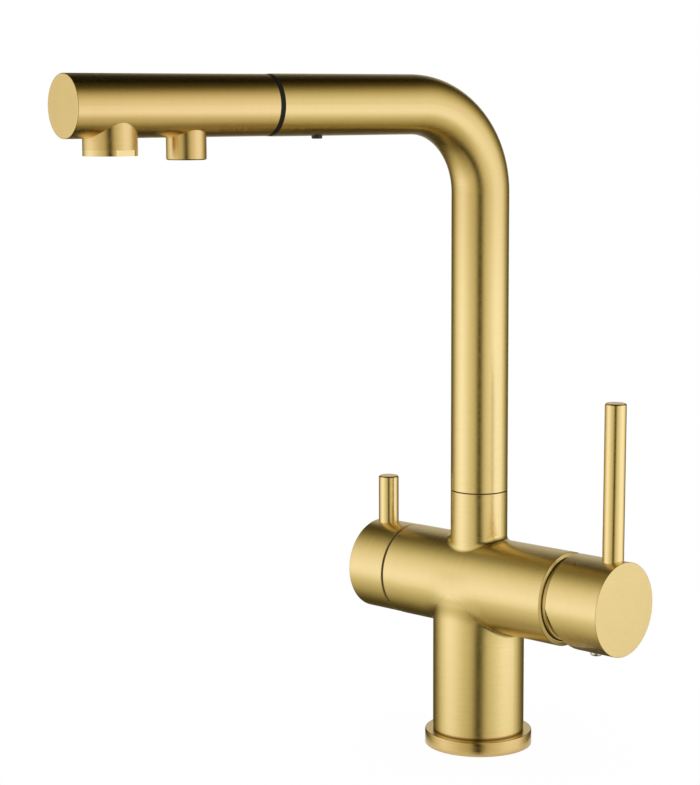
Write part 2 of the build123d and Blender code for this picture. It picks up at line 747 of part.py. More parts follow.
def quarter_openings(start, end, turn):
    """Two opposite quarter openings, as in a quarter turn ceramic valve."""
    cutter = None
    for angle in (0, 180):
        sector = make_face(Polyline((quarter_web, quarter_web), (headwork_bore_radius, quarter_web),
                                    (quarter_web, headwork_bore_radius), close=True))
        wedge = Rot(0, 0, angle + turn) * extrude(sector, end - start)
        cutter = wedge if cutter is None else cutter + wedge
    rim = Cylinder(headwork_bore_radius - quarter_rim, end - start, align=LOW)
    return Pos(-start, 0, barrel_height) * Rot(0, -90, 0) * (cutter & rim)


def make_filter_fixed_disc():
    start, end, _ = filter_stack()
    return leftward(headwork_bore_radius, start, end) - quarter_openings(start, end, 0)


def make_filter_turn_disc():
    _, start, end = filter_stack()
    disc = leftward(headwork_bore_radius - running_gap * 2, start, end) - quarter_openings(start, end, 90)
    return disc - spindle_tang()


def spindle_tang():
    """The tongue that drives the turning disc."""
    _, _, end = filter_stack()
    reach = (headwork_bore_radius - spindle_tang_inset) * 2
    tang = Box(spindle_tang_depth, spindle_tang_width, reach, align=(Align.MIN, Align.CENTER, Align.CENTER))
    return Pos(-end, 0, barrel_height) * Rot(45, 0, 0) * tang


def spline_bar(start, end, gap):
    """The toothed end of the spindle, or with a gap the socket that fits it."""
    corners = []
    for index in range(spline_teeth * 2):
        turn = math.pi * index / spline_teeth
        radius = spindle_radius + gap - (spline_depth if index % 2 else 0.0)
        corners.append((radius * math.cos(turn), radius * math.sin(turn)))
    outline = make_face(Polyline(*corners, close=True))
    return Pos(-start, 0, barrel_height) * Rot(0, -90, 0) * extrude(outline, end - start)


def spindle_clip_start():
    return headwork_collar_end + running_gap


def spindle_ring_middle():
    return filter_thread_end


def make_filter_spindle():
    _, _, start = filter_stack()
    flange_end = start + spindle_flange
    clip_end = spindle_clip_start() + clip_thickness
    spindle = leftward(headwork_bore_radius - running_gap * 2, start, flange_end)
    spindle += leftward(spindle_radius, flange_end, clip_end + clip_thickness)
    spindle += spline_bar(clip_end + clip_thickness, spindle_end, 0.0)
    spindle += spindle_tang()
    spindle -= quarter_openings(start, start + spindle_flange * 0.6, 90)
    spindle -= filter_lathe(ring(spindle_radius - clip_depth, spindle_radius, spindle_clip_start(), clip_end))
    middle = spindle_ring_middle()
    half = o_ring_section / 2
    return spindle - filter_lathe(ring(spindle_radius - half, spindle_radius, middle - half, middle + half))


def make_spindle_o_ring():
    half = o_ring_section / 2
    middle = spindle_ring_middle()
    return filter_lathe(ring(spindle_radius - half, spindle_radius, middle - half, middle + half))


def make_spindle_clip():
    start = spindle_clip_start()
    clip = filter_lathe(ring(spindle_radius - clip_depth, spindle_radius + 2 * clip_depth, start,
                             start + clip_thickness))
    opening = Pos(-start, 0, barrel_height + spindle_radius) * Box(
        clip_thickness * 4, clip_thickness * 1.5, spindle_radius)
    return clip - opening


def make_filter_glide_ring():
    """The dark plastic ring that the filter knob turns against."""
    return filter_lathe(ring(filter_recess_radius, barrel_radius - glide_ring_inset, barrel_left,
                             barrel_left + glide_ring_thickness))


def make_filter_knob():
    knob = leftward(filter_knob_radius, filter_knob_start, filter_knob_end)
    knob = fillet(circles_at(knob, Axis.X, -filter_knob_end), edge_round * 2)
    knob = fillet(circles_at(knob, Axis.X, -filter_knob_start), edge_round)
    cavity = leftward(filter_knob_radius - filter_knob_wall, filter_knob_start, filter_knob_floor)
    knob -= cavity
    hub_start = spindle_clip_start() + 2 * clip_thickness + free_gap
    knob += leftward(filter_hub_radius, hub_start, filter_knob_floor + 1)
    knob -= spline_bar(hub_start, spindle_end + free_gap, running_gap)
    knob -= make_filter_lever()
    return knob - upright(filter_screw_radius, barrel_height - filter_knob_radius - 1, barrel_height,
                          -filter_screw_x())


def filter_screw_x():
    return spindle_end - filter_screw_radius * 1.5


def make_filter_lever():
    return lever_rod(-filter_lever_x, barrel_height + filter_knob_radius, filter_lever_top)


# --- dock of the pull-out head --------------------------------------------------------------------
def snap_bar(radius, top, bottom):
    """A bar for the snap button; top and bottom are distances below the arm's axis."""
    return Pos(0, -snap_x, arm_height - bottom) * Cylinder(radius, bottom - top, align=LOW)


def snap_flange_bottom():
    return dock_radius - running_gap * 2


def make_dock_bush():
    bush = arm_lathe([(dock_bore_radius, arm_reach - dock_length), (dock_radius, arm_reach - dock_length),
                      (dock_radius, arm_reach), (head_radius, arm_reach), (head_radius, head_back),
                      (dock_bore_radius, head_back)])
    pocket_top = snap_flange_bottom() - snap_flange_thickness - snap_travel - spring_strip
    return swivelled(bush - snap_bar(snap_flange_radius + running_gap, pocket_top, tube_radius))


def make_snap_button():
    bottom = snap_flange_bottom()
    button = snap_bar(snap_flange_radius, bottom - snap_flange_thickness, tube_radius)
    button &= forward(bottom, snap_x - snap_flange_radius, snap_x + snap_flange_radius)
    tip = snap_bar(snap_radius, bottom - snap_flange_thickness, tube_radius + snap_proud)
    tip = chamfer(circles_at(tip, Axis.Z, arm_height - tube_radius - snap_proud), snap_edge)
    return swivelled(button + tip)


def make_snap_spring():
    """A bowed steel strip over the button's flange."""
    low = arm_height - snap_flange_bottom() + snap_flange_thickness
    high = low + snap_travel + spring_strip
    half = snap_flange_radius * 0.75
    middle = (low + high) / 2 + (high - low) * 0.5
    outer = ThreePointArc((-half, low + spring_strip), (0, middle), (half, low + spring_strip))
    inner = ThreePointArc((half, low), (0, middle - spring_strip), (-half, low))
    ends = [Line((half, low + spring_strip), (half, low)), Line((-half, low), (-half, low + spring_strip))]
    section = make_face(Curve() + [outer, ends[0], inner, ends[1]])
    strip = extrude(Plane.XZ * section, spring_width / 2, both=True)
    return swivelled(Pos(0, -snap_x, 0) * strip)


# --- pull-out head --------------------------------------------------------------------------------
def drop(radius, top, bottom, reach):
    """A bar hanging from the arm's axis at a reach; top and bottom are distances below the axis."""
    return Pos(0, -reach, arm_height - bottom) * Cylinder(radius, bottom - top, align=LOW)


def make_spray_head():
    shell = forward(head_radius, head_back, head_end)
    shell = fillet(circles_at(shell, Axis.Y, -head_end), head_edge)
    shell = chamfer(circles_at(shell, Axis.Y, -head_back), edge_round)
    shell += drop(main_outlet_radius, 0, main_outlet_drop, main_outlet_x)
    shell += drop(filter_outlet_radius, 0, filter_outlet_drop, filter_outlet_x)
    shell = chamfer(circles_at(shell, Axis.Z, arm_height - filter_outlet_drop), outlet_edge)
    shell -= forward(head_bore_radius, head_back, head_end - head_face)
    shell -= drop(aerator_thread_radius, 0, main_outlet_drop, main_outlet_x)
    shell -= drop(filter_aerator_radius, 0, filter_outlet_drop, filter_outlet_x)
    return swivelled(shell)


def nipple_start():
    return head_back - nipple_length


def water_offsets():
    """The mixed water runs above, the filtered water below the head's axis."""
    return {"mixed": 1, "filtered": -1}


def make_head_nipple():
    """Stands out of the head's back into the dock, with a way for each water."""
    flange_end = head_back + nipple_flange_thickness
    nipple = arm_lathe([(0, nipple_start()), (dock_bore_radius - running_gap, nipple_start()),
                        (dock_bore_radius - running_gap, head_back), (nipple_flange_radius, head_back),
                        (nipple_flange_radius, flange_end), (0, flange_end)])
    for side in water_offsets().values():
        nipple -= forward(water_bore_radius, nipple_start(), flange_end, 0, side * water_bore_offset)
    return swivelled(nipple)


def waterway_back():
    return head_back + waterway_start


def make_nipple_o_rings():
    start = head_back + nipple_flange_thickness
    rings = []
    for side in water_offsets().values():
        seal = forward(water_bore_radius + nipple_seal_width, start, waterway_back(), 0,
                       side * water_bore_offset)
        seal -= forward(water_bore_radius, start, waterway_back(), 0, side * water_bore_offset)
        rings.append(swivelled(seal))
    return Compound(children=rings)


def valve_start():
    return waterway_back() + valve_inset


def make_head_waterway():
    """A moulded core: two check valve pockets and a channel to each outlet."""
    back = waterway_back()
    core = forward(head_bore_radius, back, back + waterway_length)
    for name, side in water_offsets().items():
        reach = {"mixed": main_outlet_x, "filtered": filter_outlet_x}[name]
        core -= forward(water_bore_radius, back, valve_start(), 0, side * water_bore_offset)
        core -= forward(check_valve_radius, valve_start(), valve_start() + check_valve_length, 0,
                        side * check_valve_offset)
        core -= forward(water_bore_radius, valve_start(), reach + channel_overrun, 0,
                        side * check_valve_offset)
        core -= drop(outlet_channel_radius, -side * check_valve_offset, head_radius, reach)
    return swivelled(core)


def make_check_valve(name):
    """A snap-in check valve: a body with a seat and the poppet's stem."""
    side = water_offsets()[name] * check_valve_offset
    start = valve_start()
    valve = forward(check_valve_radius, start, start + check_valve_length, 0, side)
    valve -= forward(water_bore_radius, start, start + check_valve_length * 0.3, 0, side)
    end = start + check_valve_length
    valve -= forward(check_valve_radius - check_valve_wall, start + check_valve_length * 0.5, end, 0, side)
    valve += forward(poppet_stem_radius, start + check_valve_length * 0.4,
                     start + check_valve_length * 0.9, 0, side)
    return swivelled(valve)


def make_main_aerator_ring():
    """The screwed outlet ring: a flange with two spanner flats on a threaded collar."""
    low = main_outlet_drop + aerator_flange
    flange = drop(main_outlet_radius, main_outlet_drop, low, main_outlet_x)
    keep = Pos(0, -main_outlet_x, arm_height - low) * Rot(0, 0, flats_turn) * Box(
        aerator_flats, main_outlet_radius * 3, aerator_flange, align=LOW)
    piece = (flange & keep) + drop(aerator_thread_radius, main_outlet_drop - aerator_thread_length,
                                   main_outlet_drop, main_outlet_x)
    return swivelled(piece - drop(aerator_bore_radius, 0, low, main_outlet_x))


def sieve(radius, top, bottom, reach):
    """An aerator insert: a cup with a hexagonal field of round holes."""
    insert = drop(radius, top, bottom, reach)
    pitch = aerator_hole_radius * 2.9
    rings = int((radius - 2 * aerator_hole_radius) / pitch)
    holes = [drop(aerator_hole_radius, top, bottom, reach)]
    for number in range(1, rings + 1):
        for index in range(6 * number):
            turn = 2 * math.pi * index / (6 * number)
            holes.append(Pos(pitch * number * math.cos(turn), pitch * number * math.sin(turn), 0) * holes[0])
    return swivelled(insert.cut(*holes))


def make_main_aerator_insert():
    bottom = main_outlet_drop + aerator_flange - aerator_inset
    return sieve(aerator_bore_radius, main_outlet_drop - aerator_thread_length, bottom, main_outlet_x)


def make_aerator_washer(outer, inner, bottom, reach):
    washer = drop(outer, bottom - aerator_washer, bottom, reach) - drop(inner, 0, bottom, reach)
    return swivelled(washer)


def make_filter_aerator_insert():
    bottom = filter_outlet_drop - filter_aerator_inset
    return sieve(filter_aerator_radius, bottom - filter_aerator_length, bottom, filter_outlet_x)


pieces = {
    "base_ring": make_base_ring(),
    "base_gasket": make_base_gasket(),
    "body": make_body(),
    "cartridge_base": make_cartridge_base(),
    "cartridge_seals": make_cartridge_seals(),
    "cartridge_housing": make_cartridge_housing(),
    "fixed_disc": make_fixed_disc(),
    "moving_disc": make_moving_disc(),
    "disc_slider": make_disc_slider(),
    "stem_carrier": make_stem_carrier(),
    "stem_pin": stem_pin_bar(pin_radius),
    "mixer_stem": make_mixer_stem(),
    "cartridge_nut": make_cartridge_nut(),
    "cartridge_cover": make_cartridge_cover(),
    "mixer_knob": make_mixer_knob(),
    "mixer_lever": make_mixer_lever(),
    "mixer_grub_screw": grub_screw(grub_screw_radius, grub_screw_length,
                                   barrel_height - stem_square / 2, plug_x),
    "mixer_screw_plug": make_mixer_screw_plug(),
    "hot_dot": make_dot(dot_angle),
    "cold_dot": make_dot(-dot_angle),
    "filter_headwork": make_filter_headwork(),
    "filter_seat_seal": make_filter_seat_seal(),
    "filter_fixed_disc": make_filter_fixed_disc(),
    "filter_turn_disc": make_filter_turn_disc(),
    "filter_spindle": make_filter_spindle(),
    "spindle_o_ring": make_spindle_o_ring(),
    "spindle_clip": make_spindle_clip(),
    "filter_glide_ring": make_filter_glide_ring(),
    "filter_knob": make_filter_knob(),
    "filter_lever": make_filter_lever(),
    "filter_grub_screw": grub_screw(filter_screw_radius, filter_screw_length,
                                    barrel_height - spindle_radius, -filter_screw_x()),
    "spout": make_spout(),
    "swivel_sleeve": make_swivel_sleeve(),
    "upper_bush": make_upper_bush(),
    "lower_bush": make_lower_bush(),
    "sleeve_o_rings": make_sleeve_o_rings(),
    "swivel_clip": make_swivel_clip(),
    "dock_bush": make_dock_bush(),
    "snap_button": make_snap_button(),
    "snap_spring": make_snap_spring(),
    "spray_head": make_spray_head(),
    "head_nipple": make_head_nipple(),
    "nipple_o_rings": make_nipple_o_rings(),
    "head_waterway": make_head_waterway(),
    "mixed_check_valve": make_check_valve("mixed"),
    "filtered_check_valve": make_check_valve("filtered"),
    "main_aerator_ring": make_main_aerator_ring(),
    "main_aerator_insert": make_main_aerator_insert(),
    "main_aerator_washer": make_aerator_washer(aerator_thread_radius, aerator_bore_radius,
                                               main_outlet_drop - aerator_thread_length, main_outlet_x),
    "filter_aerator_insert": make_filter_aerator_insert(),
    "filter_aerator_washer": make_aerator_washer(
        filter_aerator_radius, filter_aerator_radius - aerator_washer_width,
        filter_outlet_drop - filter_aerator_inset - filter_aerator_length, filter_outlet_x),
}

for name, piece in pieces.items():
    export_step(piece, f"parts/{name}.step")
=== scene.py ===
import math

import bmesh
import bpy
from bpy.props import FloatProperty, FloatVectorProperty, IntProperty, PointerProperty
from mathutils import Matrix, Vector


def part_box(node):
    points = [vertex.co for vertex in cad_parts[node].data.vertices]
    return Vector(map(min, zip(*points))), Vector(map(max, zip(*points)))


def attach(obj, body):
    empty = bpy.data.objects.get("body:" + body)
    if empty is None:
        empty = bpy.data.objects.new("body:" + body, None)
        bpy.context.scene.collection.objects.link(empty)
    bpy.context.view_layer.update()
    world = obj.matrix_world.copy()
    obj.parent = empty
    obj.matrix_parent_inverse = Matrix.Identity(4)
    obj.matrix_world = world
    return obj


bl_info = {
    "name": "Three Way Kitchen Tap",
    "version": (1, 0, 0),
    "blender": (4, 5, 0),
    "location": "3D View > Sidebar > Tap",
    "description": "Finishes, threads and studio for a deck mounted three way kitchen tap",
    "category": "Object",
}

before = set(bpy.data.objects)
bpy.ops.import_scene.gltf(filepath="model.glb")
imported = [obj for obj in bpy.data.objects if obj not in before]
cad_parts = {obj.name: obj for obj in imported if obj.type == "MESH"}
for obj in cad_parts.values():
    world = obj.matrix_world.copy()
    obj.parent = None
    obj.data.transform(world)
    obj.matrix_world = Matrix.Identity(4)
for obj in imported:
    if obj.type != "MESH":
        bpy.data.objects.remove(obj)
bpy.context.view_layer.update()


# --- where the turned surfaces of the tap have their axes -------------------------------------------
def middle(node, axis):
    """Half way between a node's lowest and highest corner along one axis."""
    low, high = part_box(node)
    return (low[axis] + high[axis]) / 2


UP = Vector((0.0, 0.0, 1.0))
ACROSS = Vector((1.0, 0.0, 0.0))
DECK = Vector((0.0, 0.0, 0.0))
RING_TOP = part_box("base_ring")[1][2]
BARREL_HEIGHT = middle("cartridge_nut", 2)
BARREL_CENTRE = Vector((0.0, 0.0, BARREL_HEIGHT))
ARM_HEIGHT = middle("head_nipple", 2)
ARM_CENTRE = Vector((0.0, 0.0, ARM_HEIGHT))
ARM_TURN = math.radians(-11.2)
ARM_WAY = Vector((math.sin(ARM_TURN), -math.cos(ARM_TURN), 0.0))
MIXER_LEVER_X = 0.0829
FILTER_LEVER_X = -0.0612

# --- radii and edges of those surfaces, which tell one brushed face from the next -------------------
SLACK = 0.0001                # how far past an edge a face still counts as its own
COLUMN_RADIUS = 0.0229
BARREL_RADIUS = 0.02305
TUBE_RADIUS = 0.0142
HEAD_RADIUS = 0.014
BEND_RADIUS = 0.0429          # of the spout's centre line
BARREL_FOOT = 0.0604          # where the column's brushing gives way to the barrel's
RIM_RIGHT = 0.05605           # start of the barrel's flat right rim
RIM_LEFT = -0.0443            # start of its left rim
LIP_START = 0.05              # the rim's rolled lip lies right of this
LIP_RADIUS = 0.0209           # and outside this radius
LIP_FALL = 0.7                # slope of the lip
COVER_SEAM = 0.0565           # left of it, the cover's skirt has painted shade, a dark line where it meets the rim
COVER_LEAN = 0.32             # slope of the cover's skirt
BLEND = 0.006                 # how far the casting's soft blend reaches from the crease under the barrel
BLEND_DEPTH = 0.25            # depth of the blend, as a share of its reach
BLEND_MOST = 1.2              # past this many reaches into the crease it grows no more
BLEND_LEAST = 0.12            # share of the blend that is left under the barrel
BLEND_IN = -0.009, 0.006      # depths under the barrel's axis where it sets in and where it is full
BLEND_OUT = 0.019, 0.009      # and where it has faded and where it starts to fade
FOOT_SHADE = 0.0015           # height of the painted shade in the corner over the base ring
BEND_SHADE_START = 0.215      # length of tube before the painted shade on the spout sets in
BEND_SHADE_END = 0.28         # and where it is fully so
OUTLETS_MIDDLE = 0.186        # half way between both outlets, along the arm
HEAD_END = 0.2278             # the head's flat end, along the arm

# --- painted shade: what brass with shade painted in its colour takes from the light of each colour ---
# painted shade on the pull-out head and, fully, on the base ring
HEAD_SHADE = Vector((0.93, 0.87, 0.84))
# painted shade on the spout's arm
ARM_SHADE = Vector((0.915, 0.885, 0.835))
# painted shade in the corner over the base ring and along the cover's lip
CORNER_SHADE = Vector((0.24, 0.23, 0.18))

# --- inner metals and ceramics ----------------------------------------------------------------------
CHROME = 0.74, 0.75, 0.77
SCREW_STEEL = 0.50, 0.50, 0.51
PIN_STEEL = 0.58, 0.58, 0.59
SPRING_STEEL = 0.62, 0.62, 0.63
CERAMIC = 0.86, 0.85, 0.82

# --- threads ----------------------------------------------------------------------------------------
SHANK_RADIUS = 0.0172
SHANK_CREST = 0.00042         # height of the shank thread's ridge
SHANK_START = 0.0003          # first turn, above the foot of the column
PORT_RADIUS = 0.00355
PORT_CREST = 0.00028
PORT_START = 0.0103
PORT_CIRCLE = 0.0126          # from the column's axis to a port's
PORT_ANGLES = {"hot": 60.0, "cold": -60.0, "mixed": 0.0, "filtered_in": 180.0, "filtered_out": 120.0}
THREAD_ROOT = 0.00012         # how deep a ridge is sunk in the wall
THREAD_RUNOUT = 1.5           # the ridge reaches its height after one turn over this

# --- what makes up the look of brushed brass --------------------------------------------------------
BROAD_WIDTH = 6.0             # broad strokes to fine ones
BROAD_LENGTH = 1.6
CLOUDS = 34.0                 # patches of tone in a metre
FINE_TONE, BROAD_TONE, CLOUD_TONE = 0.30, 0.36, 0.34
FINE_ROUGH, BROAD_ROUGH = 0.06, 0.05
BROAD_HEIGHT = 0.6
TOOL_WIDTH = 0.00035          # marks of the turning tool inside the casting
TOOL_LENGTH = 0.05
BARE_ROUGH, TOOL_ROUGH = 0.36, 0.2

# --- what the metal mirrors -------------------------------------------------------------------------
WHITE = 1.0, 1.0, 1.0
ROOM = 0.5, 0.5, 0.5          # the world's light on the tap
FLOOR_MIRRORED = 0.0275       # the metal mirrors the floor up to this radius
TENT_MIRRORED = 0.036         # and the tent in its place from this one on
BACK_EDGE = -0.92             # cosine, from the studio's front, of the white back's edge
BACK_FULL = -0.965            # and of where it is at its brightest
BACK_TINT = Vector((1.0, 1.0, 0.97))
TINT_SHARE = 0.8              # from the soft boxes' brightness to a place on the ramp of their tints


# --- sizes and colours that a user would change -----------------------------------------------------
class BrassSettings(bpy.types.PropertyGroup):
    """Brushed brass and the bare machined brass behind it."""

    light: FloatVectorProperty(
        name="Light strokes", description="Colour of the polished strokes of the brushing", subtype="COLOR",
        size=3, min=0.0, max=1.0, default=(0.92, 0.73, 0.36))
    deep: FloatVectorProperty(
        name="Deep strokes", description="Colour of the duller strokes of the brushing", subtype="COLOR",
        size=3, min=0.0, max=1.0, default=(0.87, 0.68, 0.32))
    bare: FloatVectorProperty(
        name="Bare brass", description="Colour of machined brass inside bores and threads", subtype="COLOR",
        size=3, min=0.0, max=1.0, default=(0.78, 0.59, 0.30))
    satin: FloatProperty(
        name="Satin", description="Roughness of the brushed surface", subtype="FACTOR",
        min=0.05, max=0.8, default=0.2)
    cross_satin: FloatProperty(
        name="Barrel satin", description="How much rougher the cross barrel and its knobs are brushed",
        subtype="FACTOR", min=0.0, max=0.4, default=0.09)
    stroke: FloatProperty(
        name="Stroke width", description="Width of one brushed stroke", subtype="DISTANCE", unit="LENGTH",
        min=0.00005, max=0.002, default=0.00014)
    stroke_run: FloatProperty(
        name="Stroke length", description="Length of one brushed stroke round the metal",
        subtype="DISTANCE", unit="LENGTH", min=0.002, max=0.1, default=0.018)
    depth: FloatProperty(
        name="Stroke depth", description="Depth of the brushed strokes", subtype="DISTANCE", unit="LENGTH",
        min=0.0, max=0.0002, default=0.00004)


class TrimSettings(bpy.types.PropertyGroup):
    """Plastics, seals and enamel."""

    black: FloatVectorProperty(
        name="Black plastic", description="Colour of the dock ring and snap button", subtype="COLOR",
        size=3, min=0.0, max=1.0, default=(0.009, 0.009, 0.009))
    white: FloatVectorProperty(
        name="White plastic", description="Colour of the inner white mouldings", subtype="COLOR",
        size=3, min=0.0, max=1.0, default=(0.80, 0.80, 0.78))
    seam: FloatVectorProperty(
        name="Seam plastic", description="Colour of the thin rings in the handle's and the spout's seams",
        subtype="COLOR", size=3, min=0.0, max=1.0, default=(0.075, 0.06, 0.026))
    grey: FloatVectorProperty(
        name="Grey plastic", description="Colour of the aerator inserts and bushes", subtype="COLOR",
        size=3, min=0.0, max=1.0, default=(0.30, 0.31, 0.33))
    hot: FloatVectorProperty(
        name="Hot mark", description="Colour of the hot water dot", subtype="COLOR",
        size=3, min=0.0, max=1.0, default=(0.24, 0.02, 0.008))
    cold: FloatVectorProperty(
        name="Cold mark", description="Colour of the cold water dot", subtype="COLOR",
        size=3, min=0.0, max=1.0, default=(0.016, 0.05, 0.30))


class ThreadSettings(bpy.types.PropertyGroup):
    """Threads cut in the foot of the column."""

    shank_pitch: FloatProperty(
        name="Shank pitch", description="Pitch of the fixing shank's thread", subtype="DISTANCE",
        unit="LENGTH", min=0.0005, max=0.003, default=0.0015)
    port_pitch: FloatProperty(
        name="Port pitch", description="Pitch of the hose ports' threads", subtype="DISTANCE",
        unit="LENGTH", min=0.0005, max=0.002, default=0.001)
    shank_length: FloatProperty(
        name="Shank thread", description="Threaded length of the shank socket", subtype="DISTANCE",
        unit="LENGTH", min=0.002, max=0.02, default=0.0095)
    port_length: FloatProperty(
        name="Port thread", description="Threaded length of a hose port", subtype="DISTANCE",
        unit="LENGTH", min=0.002, max=0.012, default=0.0085)
    facets: IntProperty(
        name="Facets", description="Flats in one turn of a thread", min=12, max=96, default=48)


class StudioSettings(bpy.types.PropertyGroup):
    """Camera, floor and the surroundings that the metal mirrors."""

    lens: FloatProperty(
        name="Lens", description="Focal length of the camera", subtype="DISTANCE_CAMERA",
        min=20.0, max=300.0, default=96.116)
    place: FloatVectorProperty(
        name="Camera place", description="Where the camera stands", subtype="TRANSLATION", unit="LENGTH",
        size=3, default=(0.663153, -0.791855, 0.321281))
    turn: FloatProperty(
        name="Camera turn", description="Turn of the camera from the back wall", subtype="ANGLE",
        default=math.radians(43.516))
    pitch: FloatProperty(
        name="Camera pitch", description="How far the camera looks down", subtype="ANGLE",
        default=math.radians(7.86))
    roll: FloatProperty(
        name="Camera roll", description="Roll of the camera", subtype="ANGLE",
        default=math.radians(-0.245))
    floor_radius: FloatProperty(
        name="Floor radius", description="Radius of the round floor", subtype="DISTANCE", unit="LENGTH",
        min=0.05, max=3.0, default=0.16)
    tent_radius: FloatProperty(
        name="Tent radius", description="Radius of the light tent round the tap", subtype="DISTANCE",
        unit="LENGTH", min=0.5, max=5.0, default=1.05)
    tent_height: FloatProperty(
        name="Tent height", description="Height of the light tent's centre", subtype="DISTANCE",
        unit="LENGTH", min=0.0, max=1.0, default=0.16)
    floor_colour: FloatVectorProperty(
        name="Floor", description="Colour of the floor", subtype="COLOR", size=3, min=0.0, max=1.0,
        default=(0.98, 0.98, 0.975))
    floor_white: FloatProperty(
        name="Floor white", description="How much of the floor is plain white to the camera, the rest shadow",
        subtype="FACTOR", min=0.0, max=1.0, default=0.97)
    front: FloatProperty(
        name="Studio front", description="World direction of the dark gap between the two soft boxes",
        subtype="ANGLE", default=math.radians(-50.1))
    level: FloatProperty(
        name="Level", description="Brightness of the surroundings", min=0.1, max=3.0, default=1.0)


# --- shader maths -----------------------------------------------------------------------------------
class Wire:
    """A value in a node tree that stands in an expression like a number."""

    def __init__(self, tree, socket):
        self.tree = tree
        self.socket = socket

    def __add__(self, other):
        return node(self.tree, "ShaderNodeMath", {"operation": "ADD"}, {0: self, 1: other})

    def __radd__(self, other):
        return node(self.tree, "ShaderNodeMath", {"operation": "ADD"}, {0: other, 1: self})

    def __sub__(self, other):
        return node(self.tree, "ShaderNodeMath", {"operation": "SUBTRACT"}, {0: self, 1: other})

    def __rsub__(self, other):
        return node(self.tree, "ShaderNodeMath", {"operation": "SUBTRACT"}, {0: other, 1: self})

    def __mul__(self, other):
        return node(self.tree, "ShaderNodeMath", {"operation": "MULTIPLY"}, {0: self, 1: other})

    def __rmul__(self, other):
        return node(self.tree, "ShaderNodeMath", {"operation": "MULTIPLY"}, {0: other, 1: self})

    def __truediv__(self, other):
        return node(self.tree, "ShaderNodeMath", {"operation": "DIVIDE"}, {0: self, 1: other})

    def __gt__(self, other):
        return node(self.tree, "ShaderNodeMath", {"operation": "GREATER_THAN"}, {0: self, 1: other})

    def __lt__(self, other):
        return node(self.tree, "ShaderNodeMath", {"operation": "LESS_THAN"}, {0: self, 1: other})

    def most(self, other):
        return node(self.tree, "ShaderNodeMath", {"operation": "MAXIMUM"}, {0: self, 1: other})

    def least(self, other):
        return node(self.tree, "ShaderNodeMath", {"operation": "MINIMUM"}, {0: self, 1: other})

    def root(self):
        return node(self.tree, "ShaderNodeMath", {"operation": "SQRT"}, {0: self})

    def also(self, output):
        """Another output of the node that this value comes from."""
        return Wire(self.tree, self.socket.node.outputs[output])


def node(tree, kind, settings=None, sockets=None, output=0):
    """Adds a node, sets its settings, then its sockets from values or wires."""
    made = tree.nodes.new(kind)
    for name, value in (settings or {}).items():
        if name == "stops":
            for stop, _ in value[2:]:
                made.color_ramp.elements.new(stop)
            for element, (stop, colour) in zip(made.color_ramp.elements, value):
                element.position = stop
                element.color = (*colour, 1.0) if isinstance(colour, tuple) else (colour, colour, colour, 1.0)
        elif name == "interpolation":
            made.color_ramp.interpolation = value
        else:
            setattr(made, name, value)
    for name, value in (sockets or {}).items():
        if isinstance(value, Wire):
            tree.links.new(value.socket, made.inputs[name])
        else:
            made.inputs[name].default_value = value
    return Wire(tree, made.outputs[output]) if made.outputs else None


def blank(material_name):
    """A new material with an empty tree."""
    material = bpy.data.materials.new(material_name)
    material.use_nodes = True
    material.node_tree.nodes.clear()
    return material, material.node_tree


def surface(tree, sockets):
    """A Principled surface on the material's output."""
    shader = node(tree, "ShaderNodeBsdfPrincipled", {}, sockets)
    node(tree, "ShaderNodeOutputMaterial", {}, {"Surface": shader})


def mixed(tree, share, first, second):
    """A colour between two colours."""
    return node(tree, "ShaderNodeMix", {"data_type": "RGBA"},
                {0: share, 6: full(first), 7: full(second)}, output=2)


def full(colour):
    """A colour with its alpha; a wire stays a wire."""
    return colour if isinstance(colour, Wire) else (*colour, 1.0)


def scaled(colour, share):
    """A colour with less or more light."""
    return tuple(channel * share for channel in colour)


def noise(tree, point, scale, detail):
    """Cloudy values about a half."""
    return node(tree, "ShaderNodeTexNoise", {}, {"Vector": point, "Scale": scale, "Detail": detail})


def smooth(tree, value, start, end):
    """0 before the start and 1 past the end, with a soft step between them."""
    return node(tree, "ShaderNodeMapRange", {"interpolation_type": "SMOOTHSTEP"},
                {"Value": value, "From Min": start, "From Max": end})


def bump(tree, height, depth):
    """The normal of a surface that is raised by a height times a depth."""
    return node(tree, "ShaderNodeBump", {}, {"Height": height, "Distance": depth, "Strength": 1.0})


def place(tree):
    """The point's place on the piece, which is its place on the tap at rest."""
    return node(tree, "ShaderNodeTexCoord", {}, {}, output="Object")


def vector(tree, operation, *terms, output=0, scale=None):
    """Vector maths on wires and plain vectors."""
    sockets = {index: (tuple(term) if isinstance(term, Vector) else term) for index, term in enumerate(terms)}
    if scale is not None:
        sockets["Scale"] = scale
    return node(tree, "ShaderNodeVectorMath", {"operation": operation}, sockets, output=output)


def parts(tree, point):
    """The three coordinates of a point."""
    x = node(tree, "ShaderNodeSeparateXYZ", {}, {0: point})
    return x, x.also("Y"), x.also("Z")


# --- how the brushing runs --------------------------------------------------------------------------
def turned(tree, point, centre, axis):
    """Grain of a piece brushed on the lathe: how far along its axis and out from it, and the radius."""
    out = vector(tree, "SUBTRACT", point, centre)
    along = vector(tree, "DOT_PRODUCT", out, axis, output="Value")
    radius = vector(tree, "LENGTH", vector(tree, "CROSS_PRODUCT", out, axis), output="Value")
    return along + radius, radius


def either(share, first, second):
    """The first value where the share is 0, the second where it is 1."""
    return first + (second - first) * share


def strokes(tree, point, grain, width, run, detail):
    """Lines that follow curves of equal grain and fade in and out along them."""
    return node(tree, "ShaderNodeTexNoise", {"noise_dimensions": "4D"}, {
        "Vector": vector(tree, "SCALE", point, scale=1.0 / run), "W": grain / width, "Scale": 1.0,
        "Detail": detail, "Roughness": 0.6})


